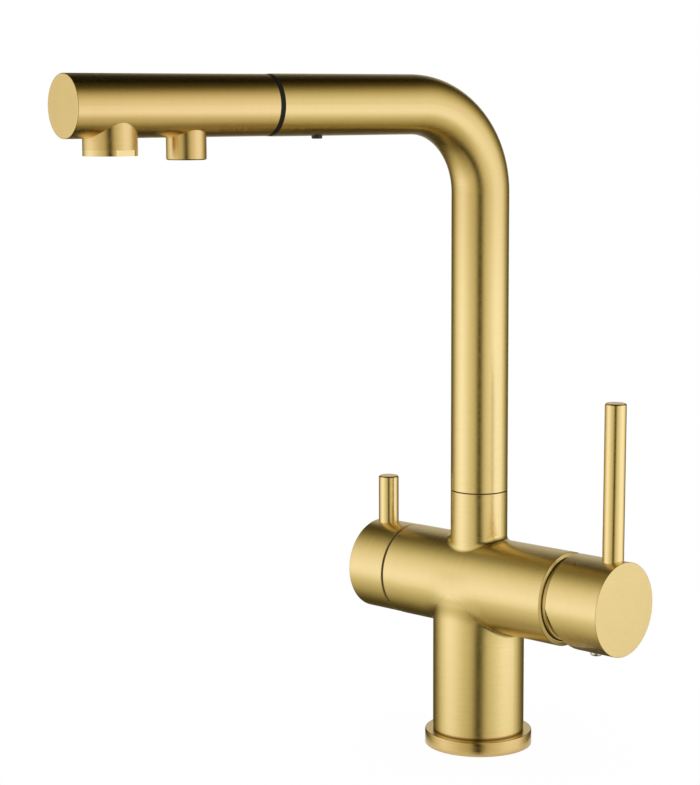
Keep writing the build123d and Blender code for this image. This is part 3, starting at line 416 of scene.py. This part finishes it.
def brushed(tree, point, grain, bare=None, dulled=None, matter=0.0, fall=0.0, shade=HEAD_SHADE, depth=1.0):
    """Brushed brass. The grain is equal along a stroke. Bare is 1 inside, where the tool left the metal;
    the share of painted shade is 1 where the shade colour darkens the brushed colour fully; matter adds to
    the roughness; the fall is how far the surface lies under the modelled face; the depth scales the strokes."""
    look = bpy.context.scene.tap_brass
    fine = strokes(tree, point, grain, look.stroke, look.stroke_run, detail=1.0)
    broad = strokes(tree, point, grain, look.stroke * BROAD_WIDTH, look.stroke_run * BROAD_LENGTH,
                    detail=2.0)
    cloud = noise(tree, point, CLOUDS, detail=2.0)
    tone = fine * FINE_TONE + broad * BROAD_TONE + cloud * CLOUD_TONE
    colour = mixed(tree, tone, look.deep, look.light)
    # painted shade: the colour is multiplied by the shade colour as far as its share goes
    if dulled is not None:
        colour = mixed(tree, dulled, colour, vector(tree, "MULTIPLY", colour, shade))
    roughness = look.satin + (fine - 0.5) * FINE_ROUGH + (broad - 0.5) * BROAD_ROUGH + matter
    height = fine + broad * BROAD_HEIGHT
    if bare is not None:
        cut = strokes(tree, point, grain, TOOL_WIDTH, TOOL_LENGTH, detail=1.0)
        metal = mixed(tree, cut, look.bare, scaled(look.bare, 0.8))
        colour = mixed(tree, bare, colour, metal)
        roughness = either(bare, roughness, BARE_ROUGH + (cut - 0.5) * TOOL_ROUGH)
        height = either(bare, height, cut)
    surface(tree, {"Base Color": colour, "Metallic": 1.0, "Roughness": roughness,
                   "Normal": bump(tree, height * (look.depth * depth) - fall, 1.0)})


def dress(material, *names):
    """Gives CAD nodes a material in every slot."""
    for name in names:
        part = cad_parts[name]
        for slot in part.material_slots:
            slot.material = material
        if not part.material_slots:
            raise RuntimeError(f"{name} has no material slot")


def lathe_brass(material_name, centre, axis, **finish):
    """Brushed brass of one turned piece."""
    material, tree = blank(material_name)
    point = place(tree)
    grain, _ = turned(tree, point, centre, axis)
    brushed(tree, point, grain, **finish)
    return material


def lever_brass(material_name, x):
    """The finely brushed brass of an upright lever."""
    return lathe_brass(material_name, ACROSS * x, UP, matter=0.03, depth=0.1)


def machined_brass(material_name, centre, axis):
    """Bare brass with the fine rings of a turning tool."""
    look = bpy.context.scene.tap_brass
    material, tree = blank(material_name)
    point = place(tree)
    grain, _ = turned(tree, point, centre, axis)
    cut = strokes(tree, point, grain, width=0.0003, run=0.016, detail=2.0)
    colour = mixed(tree, cut, look.bare, scaled(look.bare, 0.82))
    surface(tree, {"Base Color": colour, "Metallic": 1.0, "Roughness": 0.28 + cut * 0.16,
                   "Normal": bump(tree, cut, depth=0.000006)})
    return material


def machined_steel(material_name, colour, rough):
    """Steel or chrome with faint tool marks."""
    material, tree = blank(material_name)
    point = place(tree)
    cloud = noise(tree, point, scale=900.0, detail=3.0)
    surface(tree, {"Base Color": mixed(tree, cloud, colour, scaled(colour, 0.86)),
                   "Metallic": 1.0, "Roughness": rough + (cloud - 0.5) * 0.12,
                   "Normal": bump(tree, cloud, depth=0.000004)})
    return material


def moulded(material_name, colour, rough, depth=0.000012, gloss=0.5):
    """Moulded plastic or rubber: a fine spark eroded skin with slight flow marks."""
    material, tree = blank(material_name)
    point = place(tree)
    skin = noise(tree, point, scale=4200.0, detail=2.0)
    flow = noise(tree, point, scale=160.0, detail=2.0)
    light = tuple(min(1.0, channel) for channel in scaled(colour, 1.15))
    tone = mixed(tree, flow * 0.7 + skin * 0.3, scaled(colour, 0.82), light)
    surface(tree, {"Base Color": tone, "Roughness": rough + (flow - 0.5) * 0.12 + (skin - 0.5) * 0.1,
                   "Specular IOR Level": gloss, "Normal": bump(tree, skin, depth)})
    return material


def enamelled(material_name, colour):
    """Enamel, slightly domed by its own skin."""
    material, tree = blank(material_name)
    point = place(tree)
    wave = noise(tree, point, scale=700.0, detail=1.0)
    surface(tree, {"Base Color": mixed(tree, wave, colour, scaled(colour, 0.7)),
                   "Roughness": 0.45 + wave * 0.08, "Specular IOR Level": 0.25,
                   "Normal": bump(tree, wave, depth=0.00001)})
    return material


# --- body -------------------------------------------------------------------------------------------
class TAP_OT_body(bpy.types.Operator):
    """Finish the cast body: brushed outside round column, barrel and neck, bare brass inside"""

    bl_idname = "tap.body"
    bl_label = "Body"

    def execute(self, context):
        look = context.scene.tap_brass
        material, tree = blank("brushed_body")
        point = place(tree)
        x, _, z = parts(tree, point)
        stand, stand_radius = turned(tree, point, DECK, UP)
        cross, cross_radius = turned(tree, point, BARREL_CENTRE, ACROSS)
        on_column = (stand_radius > COLUMN_RADIUS - 1.5 * SLACK) * (z < BARREL_FOOT + SLACK)
        off_barrel = (cross_radius > BARREL_RADIUS - 1.5 * SLACK) * (stand_radius > TUBE_RADIUS - 2 * SLACK)
        rims = (x > RIM_RIGHT).most(x < RIM_LEFT)
        outside = on_column.most(off_barrel * (z > BARREL_FOOT)).most(rims)
        round_barrel = (cross_radius < BARREL_RADIUS + SLACK) * (z > BARREL_FOOT)
        lip = (cross_radius - LIP_RADIUS).most(0.0) - (BARREL_RADIUS - LIP_RADIUS)
        filled = self.blend(tree, BARREL_HEIGHT - z, stand_radius + cross_radius)
        # painted shade: the column's colour is darkened just over the base ring, where the corner lies in
        # shade
        brushed(tree, point, either(round_barrel, stand, cross), bare=1 - outside,
                dulled=smooth(tree, z - RING_TOP, FOOT_SHADE, SLACK), matter=round_barrel * look.cross_satin,
                fall=lip * (x > LIP_START) * LIP_FALL - filled, shade=CORNER_SHADE)
        dress(material, "body")
        # painted shade: the base ring's whole colour is darkened by the head's shade colour
        dress(lathe_brass("brushed_base_ring", DECK, UP, dulled=1.0, matter=-0.06), "base_ring")
        dress(moulded("rubber_gasket", context.scene.tap_trim.black, rough=0.62), "base_gasket")
        return {"FINISHED"}

    def blend(self, tree, low, radii):
        """How far the casting's soft blend fills the crease between column and barrel. It is full at the
        top, where the crease starts, and fades on its way down to both sides."""
        near = (BLEND + COLUMN_RADIUS + BARREL_RADIUS - radii).most(0.0).least(BLEND_MOST * BLEND)
        upper = smooth(tree, low, *BLEND_IN)
        under = smooth(tree, low, *BLEND_OUT)
        return near * near * upper * (under + BLEND_LEAST) * (BLEND_DEPTH / BLEND)


def helix_ridge(radius, pitch, length, facets, crest):
    """A thread's ridge on the wall of a bore, with its root sunk in the wall and runout at both ends."""
    mesh = bmesh.new()
    steps = int(facets * length / pitch)
    rows = []
    for step in range(steps + 1):
        angle = 2 * math.pi * step / facets
        rise = length * step / steps
        fade = min(1.0, step / facets * THREAD_RUNOUT, (steps - step) / facets * THREAD_RUNOUT)
        root, top = radius + THREAD_ROOT, radius - crest * fade
        profile = ((root, 0.0), (top, 0.42), (top, 0.56), (root, 0.98))
        rows.append([mesh.verts.new((out * math.cos(angle), out * math.sin(angle), rise + share * pitch))
                     for out, share in profile])
    for low, high in zip(rows, rows[1:]):
        for index in range(4):
            after = (index + 1) % 4
            mesh.faces.new((low[index], high[index], high[after], low[after]))
    mesh.faces.new(rows[0])
    mesh.faces.new(list(reversed(rows[-1])))
    bmesh.ops.recalc_face_normals(mesh, faces=mesh.faces)
    return mesh


def piece(name, mesh, body, material):
    """A finished piece that rides on a body."""
    data = bpy.data.meshes.new(name)
    mesh.to_mesh(data)
    mesh.free()
    made = bpy.data.objects.new(name, data)
    bpy.context.scene.collection.objects.link(made)
    data.materials.append(material)
    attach(made, body)
    return made


class TAP_OT_threads(bpy.types.Operator):
    """Cut the threads of the shank socket and of the five hose ports"""

    bl_idname = "tap.threads"
    bl_label = "Threads"

    def execute(self, context):
        cut = context.scene.tap_threads
        brass = machined_brass("threaded_brass", DECK, UP)
        ridge = helix_ridge(SHANK_RADIUS, cut.shank_pitch, cut.shank_length - cut.shank_pitch,
                            cut.facets * 2, SHANK_CREST)
        bmesh.ops.translate(ridge, verts=ridge.verts, vec=(0, 0, SHANK_START))
        piece("shank_thread", ridge, "tap_body", brass)
        for name, angle in PORT_ANGLES.items():
            ridge = helix_ridge(PORT_RADIUS, cut.port_pitch, cut.port_length - cut.port_pitch,
                                cut.facets, PORT_CREST)
            turn = math.radians(angle)
            spot = (PORT_CIRCLE * math.cos(turn), PORT_CIRCLE * math.sin(turn), PORT_START)
            bmesh.ops.translate(ridge, verts=ridge.verts, vec=spot)
            piece(f"{name}_port_thread", ridge, "tap_body", brass)
        return {"FINISHED"}


# --- handles and valves -----------------------------------------------------------------------------
class TAP_OT_mixer_handle(bpy.types.Operator):
    """Finish the mixer's knob, lever, screw plug and the hot and cold dots"""

    bl_idname = "tap.mixer_handle"
    bl_label = "Mixer handle"

    def execute(self, context):
        trim = context.scene.tap_trim
        satin = context.scene.tap_brass.cross_satin
        dress(lathe_brass("brushed_mixer_knob", BARREL_CENTRE, ACROSS, matter=satin), "mixer_knob")
        cover, tree = blank("brushed_cartridge_cover")
        point = place(tree)
        grain, _ = turned(tree, point, BARREL_CENTRE, ACROSS)
        x = parts(tree, point)[0]
        # painted shade: a dark line along the skirt's foot, at the rim's lip
        brushed(tree, point, grain, dulled=x < COVER_SEAM, matter=0.2, fall=x * COVER_LEAN,
                shade=CORNER_SHADE)
        dress(cover, "cartridge_cover")
        dress(lever_brass("brushed_mixer_lever", MIXER_LEVER_X), "mixer_lever")
        dress(machined_steel("chromed_plug", CHROME, rough=0.16), "mixer_screw_plug")
        dress(machined_steel("grub_screw_steel", SCREW_STEEL, rough=0.34), "mixer_grub_screw")
        dress(enamelled("hot_enamel", trim.hot), "hot_dot")
        dress(enamelled("cold_enamel", trim.cold), "cold_dot")
        return {"FINISHED"}


class TAP_OT_mixer_cartridge(bpy.types.Operator):
    """Finish the ceramic disc cartridge inside the barrel"""

    bl_idname = "tap.mixer_cartridge"
    bl_label = "Mixer cartridge"

    def execute(self, context):
        trim = context.scene.tap_trim
        white = moulded("cartridge_white", trim.white, rough=0.42)
        grey = moulded("cartridge_grey", trim.grey, rough=0.46)
        dress(white, "cartridge_housing", "disc_slider")
        dress(grey, "cartridge_base", "stem_carrier")
        dress(moulded("cartridge_rubber", trim.black, rough=0.6), "cartridge_seals")
        dress(moulded("ceramic_disc", CERAMIC, rough=0.16, depth=0.000002), "fixed_disc", "moving_disc")
        dress(machined_steel("stem_steel", PIN_STEEL, rough=0.3), "stem_pin", "mixer_stem")
        dress(machined_brass("machined_nut", BARREL_CENTRE, ACROSS), "cartridge_nut")
        return {"FINISHED"}


class TAP_OT_filter_handle(bpy.types.Operator):
    """Finish the filtered water knob and its pin lever"""

    bl_idname = "tap.filter_handle"
    bl_label = "Filter handle"

    def execute(self, context):
        satin = context.scene.tap_brass.cross_satin
        dress(lathe_brass("brushed_filter_knob", BARREL_CENTRE, ACROSS, matter=satin), "filter_knob")
        dress(lever_brass("brushed_filter_lever", FILTER_LEVER_X), "filter_lever")
        dress(machined_steel("set_screw_steel", SCREW_STEEL, rough=0.34), "filter_grub_screw")
        dress(moulded("glide_ring_plastic", context.scene.tap_trim.seam, rough=0.5), "filter_glide_ring")
        return {"FINISHED"}


class TAP_OT_filter_valve(bpy.types.Operator):
    """Finish the quarter turn valve behind the filtered water knob"""

    bl_idname = "tap.filter_valve"
    bl_label = "Filter valve"

    def execute(self, context):
        trim = context.scene.tap_trim
        brass = machined_brass("machined_valve", BARREL_CENTRE, ACROSS)
        dress(brass, "filter_headwork", "filter_spindle")
        dress(moulded("valve_ceramic", CERAMIC, rough=0.16, depth=0.000002), "filter_fixed_disc",
              "filter_turn_disc")
        dress(moulded("valve_rubber", trim.black, rough=0.6), "filter_seat_seal", "spindle_o_ring")
        dress(machined_steel("spindle_clip_steel", PIN_STEEL, rough=0.26), "spindle_clip")
        return {"FINISHED"}


# --- spout and dock ---------------------------------------------------------------------------------
class TAP_OT_spout(bpy.types.Operator):
    """Finish the bent spout, brushed round its centre line from foot to open end, and its swivel"""

    bl_idname = "tap.spout"
    bl_label = "Spout"

    def execute(self, context):
        trim = context.scene.tap_trim
        material, tree = blank("brushed_spout")
        point = place(tree)
        z = parts(tree, point)[2]
        reach = vector(tree, "DOT_PRODUCT", point, ARM_WAY, output="Value")
        rise = (z - (ARM_HEIGHT - BEND_RADIUS)).most(0.0)
        short = (BEND_RADIUS - reach).most(0.0)
        angle = node(tree, "ShaderNodeMath", {"operation": "ARCTAN2"}, {0: rise, 1: short})
        along = z.least(ARM_HEIGHT - BEND_RADIUS) + angle * BEND_RADIUS + (reach - BEND_RADIUS).most(0.0)
        # painted shade: past the bend, the arm's colour is darker than the riser's
        arm = smooth(tree, along, BEND_SHADE_START, BEND_SHADE_END)
        brushed(tree, point, along, dulled=arm, matter=arm * 0.02, shade=ARM_SHADE)
        dress(material, "spout")
        dress(machined_brass("machined_sleeve", DECK, UP), "swivel_sleeve")
        dress(moulded("bush_plastic", scaled(trim.seam, 0.6), rough=0.5), "upper_bush", "lower_bush")
        dress(moulded("sleeve_rubber", trim.black, rough=0.6), "sleeve_o_rings")
        dress(machined_steel("snap_ring_steel", PIN_STEEL, rough=0.26), "swivel_clip")
        return {"FINISHED"}


class TAP_OT_dock(bpy.types.Operator):
    """Finish the black dock ring, the snap button and its spring"""

    bl_idname = "tap.dock"
    bl_label = "Dock"

    def execute(self, context):
        black = context.scene.tap_trim.black
        dress(moulded("dock_black", black, rough=0.52, gloss=0.2), "dock_bush")
        dress(moulded("button_black", scaled(black, 1.6), rough=0.4), "snap_button")
        dress(machined_steel("spring_steel", SPRING_STEEL, rough=0.22), "snap_spring")
        return {"FINISHED"}


# --- pull-out head ----------------------------------------------------------------------------------
class TAP_OT_head(bpy.types.Operator):
    """Finish the pull-out head: brushed round its own axis, each outlet boss round its own"""

    bl_idname = "tap.head"
    bl_label = "Pull-out head"

    def execute(self, context):
        trim = context.scene.tap_trim
        material, tree = blank("brushed_head")
        point = place(tree)
        shell, shell_radius = turned(tree, point, ARM_CENTRE, ARM_WAY)
        reach = vector(tree, "DOT_PRODUCT", point, ARM_WAY, output="Value")
        z = parts(tree, point)[2]
        main_axis, filtered_axis = (Vector((middle(name, 0), middle(name, 1), 0.0))
                                    for name in ("main_aerator_ring", "filter_aerator_insert"))
        main, _ = turned(tree, point, main_axis, UP)
        filtered, _ = turned(tree, point, filtered_axis, UP)
        boss = either(reach > OUTLETS_MIDDLE, filtered, main)
        below = (shell_radius > HEAD_RADIUS + SLACK) * (z < ARM_HEIGHT)
        flat_end = reach > HEAD_END - 2 * SLACK
        # painted shade: the head's colour is darkened, half as much on its flat end
        brushed(tree, point, either(below, shell, boss), dulled=1 - flat_end * 0.5, matter=0.03)
        dress(material, "spray_head")
        dress(lathe_brass("brushed_outlet_ring", main_axis, UP), "main_aerator_ring")
        white = moulded("waterway_white", trim.white, rough=0.42)
        dress(white, "head_waterway", "mixed_check_valve", "filtered_check_valve")
        dress(machined_brass("machined_nipple", ARM_CENTRE, ARM_WAY), "head_nipple")
        dress(moulded("nipple_rubber", trim.black, rough=0.6), "nipple_o_rings")
        return {"FINISHED"}


class TAP_OT_outlets(bpy.types.Operator):
    """Finish the inserts and washers of both outlets"""

    bl_idname = "tap.outlets"
    bl_label = "Outlets"

    def execute(self, context):
        trim = context.scene.tap_trim
        dress(moulded("insert_grey", trim.grey, rough=0.44), "main_aerator_insert", "filter_aerator_insert")
        dress(moulded("outlet_rubber", trim.black, rough=0.6), "main_aerator_washer",
              "filter_aerator_washer")
        return {"FINISHED"}


# --- studio -----------------------------------------------------------------------------------------
def shown(tree):
    """1 for what the camera sees, and 1 for what a mirror or a clear body shows; 0 for light on the tap."""
    camera = node(tree, "ShaderNodeLightPath", output="Is Camera Ray")
    mirrored = camera.also("Is Glossy Ray").most(camera.also("Is Transmission Ray"))
    return camera, mirrored


class TAP_OT_stage(bpy.types.Operator):
    """Set up the pale floor, the light tent with its two soft boxes, the white world and the camera"""

    bl_idname = "tap.stage"
    bl_label = "Stage"

    def execute(self, context):
        look = context.scene.tap_studio
        self.floor(context, look)
        self.tent(context, look)
        self.background(context, look)
        self.camera(context, look)
        return {"FINISHED"}

    def stand(self, context, name, mesh, material):
        """A thing of the stage, which isn't part of the tap."""
        data = bpy.data.meshes.new(name)
        mesh.to_mesh(data)
        mesh.free()
        data.materials.append(material)
        made = bpy.data.objects.new(name, data)
        context.scene.collection.objects.link(made)
        return made

    def floor(self, context, look):
        """White to the camera but for a faint shadow; the metal mirrors it only close to the base."""
        material, tree = blank("pale_floor")
        camera, mirrored = shown(tree)
        reach = vector(tree, "LENGTH", place(tree), output="Value")
        far = smooth(tree, reach, FLOOR_MIRRORED, TENT_MIRRORED)
        matt = node(tree, "ShaderNodeBsdfDiffuse", {}, {"Color": full(look.floor_colour)})
        bright = node(tree, "ShaderNodeEmission", {}, {"Color": full(WHITE), "Strength": 1.0})
        clear = node(tree, "ShaderNodeBsdfTransparent")
        lit = node(tree, "ShaderNodeMixShader", {}, {0: camera * look.floor_white, 1: matt, 2: bright})
        seen = node(tree, "ShaderNodeMixShader", {}, {0: mirrored * far, 1: lit, 2: clear})
        node(tree, "ShaderNodeOutputMaterial", {}, {"Surface": seen})
        mesh = bmesh.new()
        bmesh.ops.create_circle(mesh, cap_ends=True, segments=96, radius=look.floor_radius)
        self.stand(context, "floor", mesh, material)

    def tent(self, context, look):
        """A tent with two soft boxes, a dark gap between them where the camera stands, and a white back."""
        material, tree = blank("tent_light")
        way = vector(tree, "NORMALIZE", place(tree))
        front = Vector((math.cos(look.front), math.sin(look.front), 0.0))
        right = Vector((-front.y, front.x, 0.0))
        ahead = vector(tree, "DOT_PRODUCT", way, front, output="Value")
        aside = vector(tree, "DOT_PRODUCT", way, right, output="Value")
        height = parts(tree, way)[2]
        turn = node(tree, "ShaderNodeMath", {"operation": "ARCTAN2"}, {0: aside, 1: ahead})
        lift = node(tree, "ShaderNodeMath", {"operation": "ARCSINE"}, {0: height})
        degrees = 180.0 / math.pi
        around = self.ramp(tree, turn * (degrees / 360.0) + 0.5, 360.0, (
            (-150, 0.08), (-136, 0.20), (-128, 0.30), (-119, 0.53), (-106, 0.86), (-96, 1.02), (-84, 1.16),
            (-72, 1.17), (-60, 1.06), (-46, 0.90), (-34, 0.76), (-20, 0.66), (-10, 0.36), (-5, 0.01),
            (5, 0.01), (10, 0.40), (20, 0.74), (34, 0.87), (46, 0.99), (58, 1.15), (72, 1.18), (86, 1.16),
            (97, 1.11), (106, 0.90), (119, 0.53), (128, 0.34), (136, 0.20), (150, 0.08)))
        along = self.ramp(tree, lift * (degrees / 180.0) + 0.5, 180.0, (
            (-90, 0.0), (-68, 0.14), (-56, 0.38), (-48, 0.48), (-40, 0.54), (-34, 0.61), (-26, 0.76),
            (-17, 0.95), (-9, 0.97), (-2, 0.92), (8, 0.88), (24, 0.77), (36, 0.62), (45, 0.46),
            (54, 0.24), (64, 0.06), (75, 0.03)))
        boxes = around * along
        behind = self.ramp(tree, lift * (degrees / 180.0) + 0.5, 180.0, (
            (-60, 0.02), (-30, 0.04), (-15, 0.18), (-6, 0.46), (12, 0.51), (23, 0.47), (32, 0.29),
            (38, 0.14), (45, 0.05), (54, 0.01)))
        aback = smooth(tree, ahead / (aside * aside + ahead * ahead).root(), BACK_EDGE, BACK_FULL)
        window = behind * aback
        tint = node(tree, "ShaderNodeValToRGB", {"interpolation": "LINEAR", "stops": [
            (0.0, (1.0, 0.77, 0.22)), (0.12, (1.0, 0.85, 0.33)), (0.28, (1.0, 0.915, 0.51)),
            (0.48, (1.0, 0.94, 0.64)), (0.62, (1.0, 0.96, 0.75)), (0.78, (1.0, 0.995, 0.97)),
            (0.92, (1.0, 1.02, 1.10))]}, {0: boxes * TINT_SHARE})
        light = vector(tree, "ADD", vector(tree, "SCALE", tint, scale=boxes),
                       vector(tree, "SCALE", BACK_TINT, scale=window))
        plain = node(tree, "ShaderNodeLightPath", output="Is Diffuse Ray")
        colour = mixed(tree, plain, light, WHITE)
        surface(tree, {"Base Color": (0, 0, 0, 1), "Roughness": 1.0, "Specular IOR Level": 0.0,
                       "Emission Color": colour, "Emission Strength": look.level})
        mesh = bmesh.new()
        bmesh.ops.create_uvsphere(mesh, u_segments=64, v_segments=32, radius=look.tent_radius)
        tent = self.stand(context, "light_tent", mesh, material)
        tent.location.z = look.tent_height
        tent.visible_camera = False
        material.cycles.emission_sampling = "NONE"

    def ramp(self, tree, share, span, levels):
        """A brightness over a share of a span of degrees, from (degrees off its middle, level) pairs."""
        return node(tree, "ShaderNodeRGBToBW", {}, {0: node(
            tree, "ShaderNodeValToRGB", {"interpolation": "LINEAR", "stops": [
                (angle / span + 0.5, level) for angle, level in levels]}, {0: share})})

    def background(self, context, look):
        world = bpy.data.worlds.new("studio")
        context.scene.world = world
        world.use_nodes = True
        tree = world.node_tree
        tree.nodes.clear()
        camera, mirrored = shown(tree)
        room = node(tree, "ShaderNodeBackground", {}, {"Color": full(ROOM), "Strength": look.level})
        white = node(tree, "ShaderNodeBackground", {}, {"Color": full(WHITE), "Strength": 1.0})
        mix = node(tree, "ShaderNodeMixShader", {}, {0: camera.most(mirrored), 1: room, 2: white})
        node(tree, "ShaderNodeOutputWorld", {}, {"Surface": mix})

    def camera(self, context, look):
        data = bpy.data.cameras.new("camera")
        data.sensor_fit = "AUTO"
        data.sensor_width = 36.0
        data.lens = look.lens
        data.clip_start = 0.01
        data.clip_end = 20.0
        eye = bpy.data.objects.new("camera", data)
        context.scene.collection.objects.link(eye)
        level = Vector((math.cos(look.turn), math.sin(look.turn), 0.0))
        away = UP.cross(level) * math.cos(look.pitch) - UP * math.sin(look.pitch)
        upright = level.cross(away)
        right = level * math.cos(look.roll) + upright * math.sin(look.roll)
        top = upright * math.cos(look.roll) - level * math.sin(look.roll)
        turn = Matrix((right, top, -away)).transposed()
        eye.matrix_world = Matrix.Translation(Vector(look.place)) @ turn.to_4x4()
        context.scene.camera = eye
        context.scene.view_settings.view_transform = "Standard"


# --- panel and registration -------------------------------------------------------------------------
OPERATORS = (TAP_OT_body, TAP_OT_threads, TAP_OT_mixer_handle, TAP_OT_mixer_cartridge, TAP_OT_filter_handle,
             TAP_OT_filter_valve, TAP_OT_spout, TAP_OT_dock, TAP_OT_head, TAP_OT_outlets, TAP_OT_stage)
SETTINGS = {"tap_brass": BrassSettings, "tap_trim": TrimSettings, "tap_threads": ThreadSettings,
            "tap_studio": StudioSettings}


class TAP_PT_pieces(bpy.types.Panel):
    """Pieces of the tap, in the order in which they are made"""

    bl_idname = "TAP_PT_pieces"
    bl_label = "Kitchen Tap"
    bl_space_type = "VIEW_3D"
    bl_region_type = "UI"
    bl_category = "Tap"

    def draw(self, context):
        for name in SETTINGS:
            column = self.layout.column(align=True)
            settings = getattr(context.scene, name)
            for value in settings.__annotations__:
                column.prop(settings, value)
        for operator in OPERATORS:
            self.layout.operator(operator.bl_idname)


def register():
    for group in SETTINGS.values():
        bpy.utils.register_class(group)
    for name, group in SETTINGS.items():
        setattr(bpy.types.Scene, name, PointerProperty(type=group))
    for operator in OPERATORS:
        bpy.utils.register_class(operator)
    bpy.utils.register_class(TAP_PT_pieces)


def unregister():
    bpy.utils.unregister_class(TAP_PT_pieces)
    for operator in reversed(OPERATORS):
        bpy.utils.unregister_class(operator)
    for name in SETTINGS:
        delattr(bpy.types.Scene, name)
    for group in reversed(list(SETTINGS.values())):
        bpy.utils.unregister_class(group)


def main():
    register()
    bpy.ops.tap.body()
    bpy.ops.tap.threads()
    bpy.ops.tap.mixer_handle()
    bpy.ops.tap.mixer_cartridge()
    bpy.ops.tap.filter_handle()
    bpy.ops.tap.filter_valve()
    bpy.ops.tap.spout()
    bpy.ops.tap.dock()
    bpy.ops.tap.head()
    bpy.ops.tap.outlets()
    bpy.ops.tap.stage()
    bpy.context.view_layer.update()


if __name__ == "__main__":
    main()
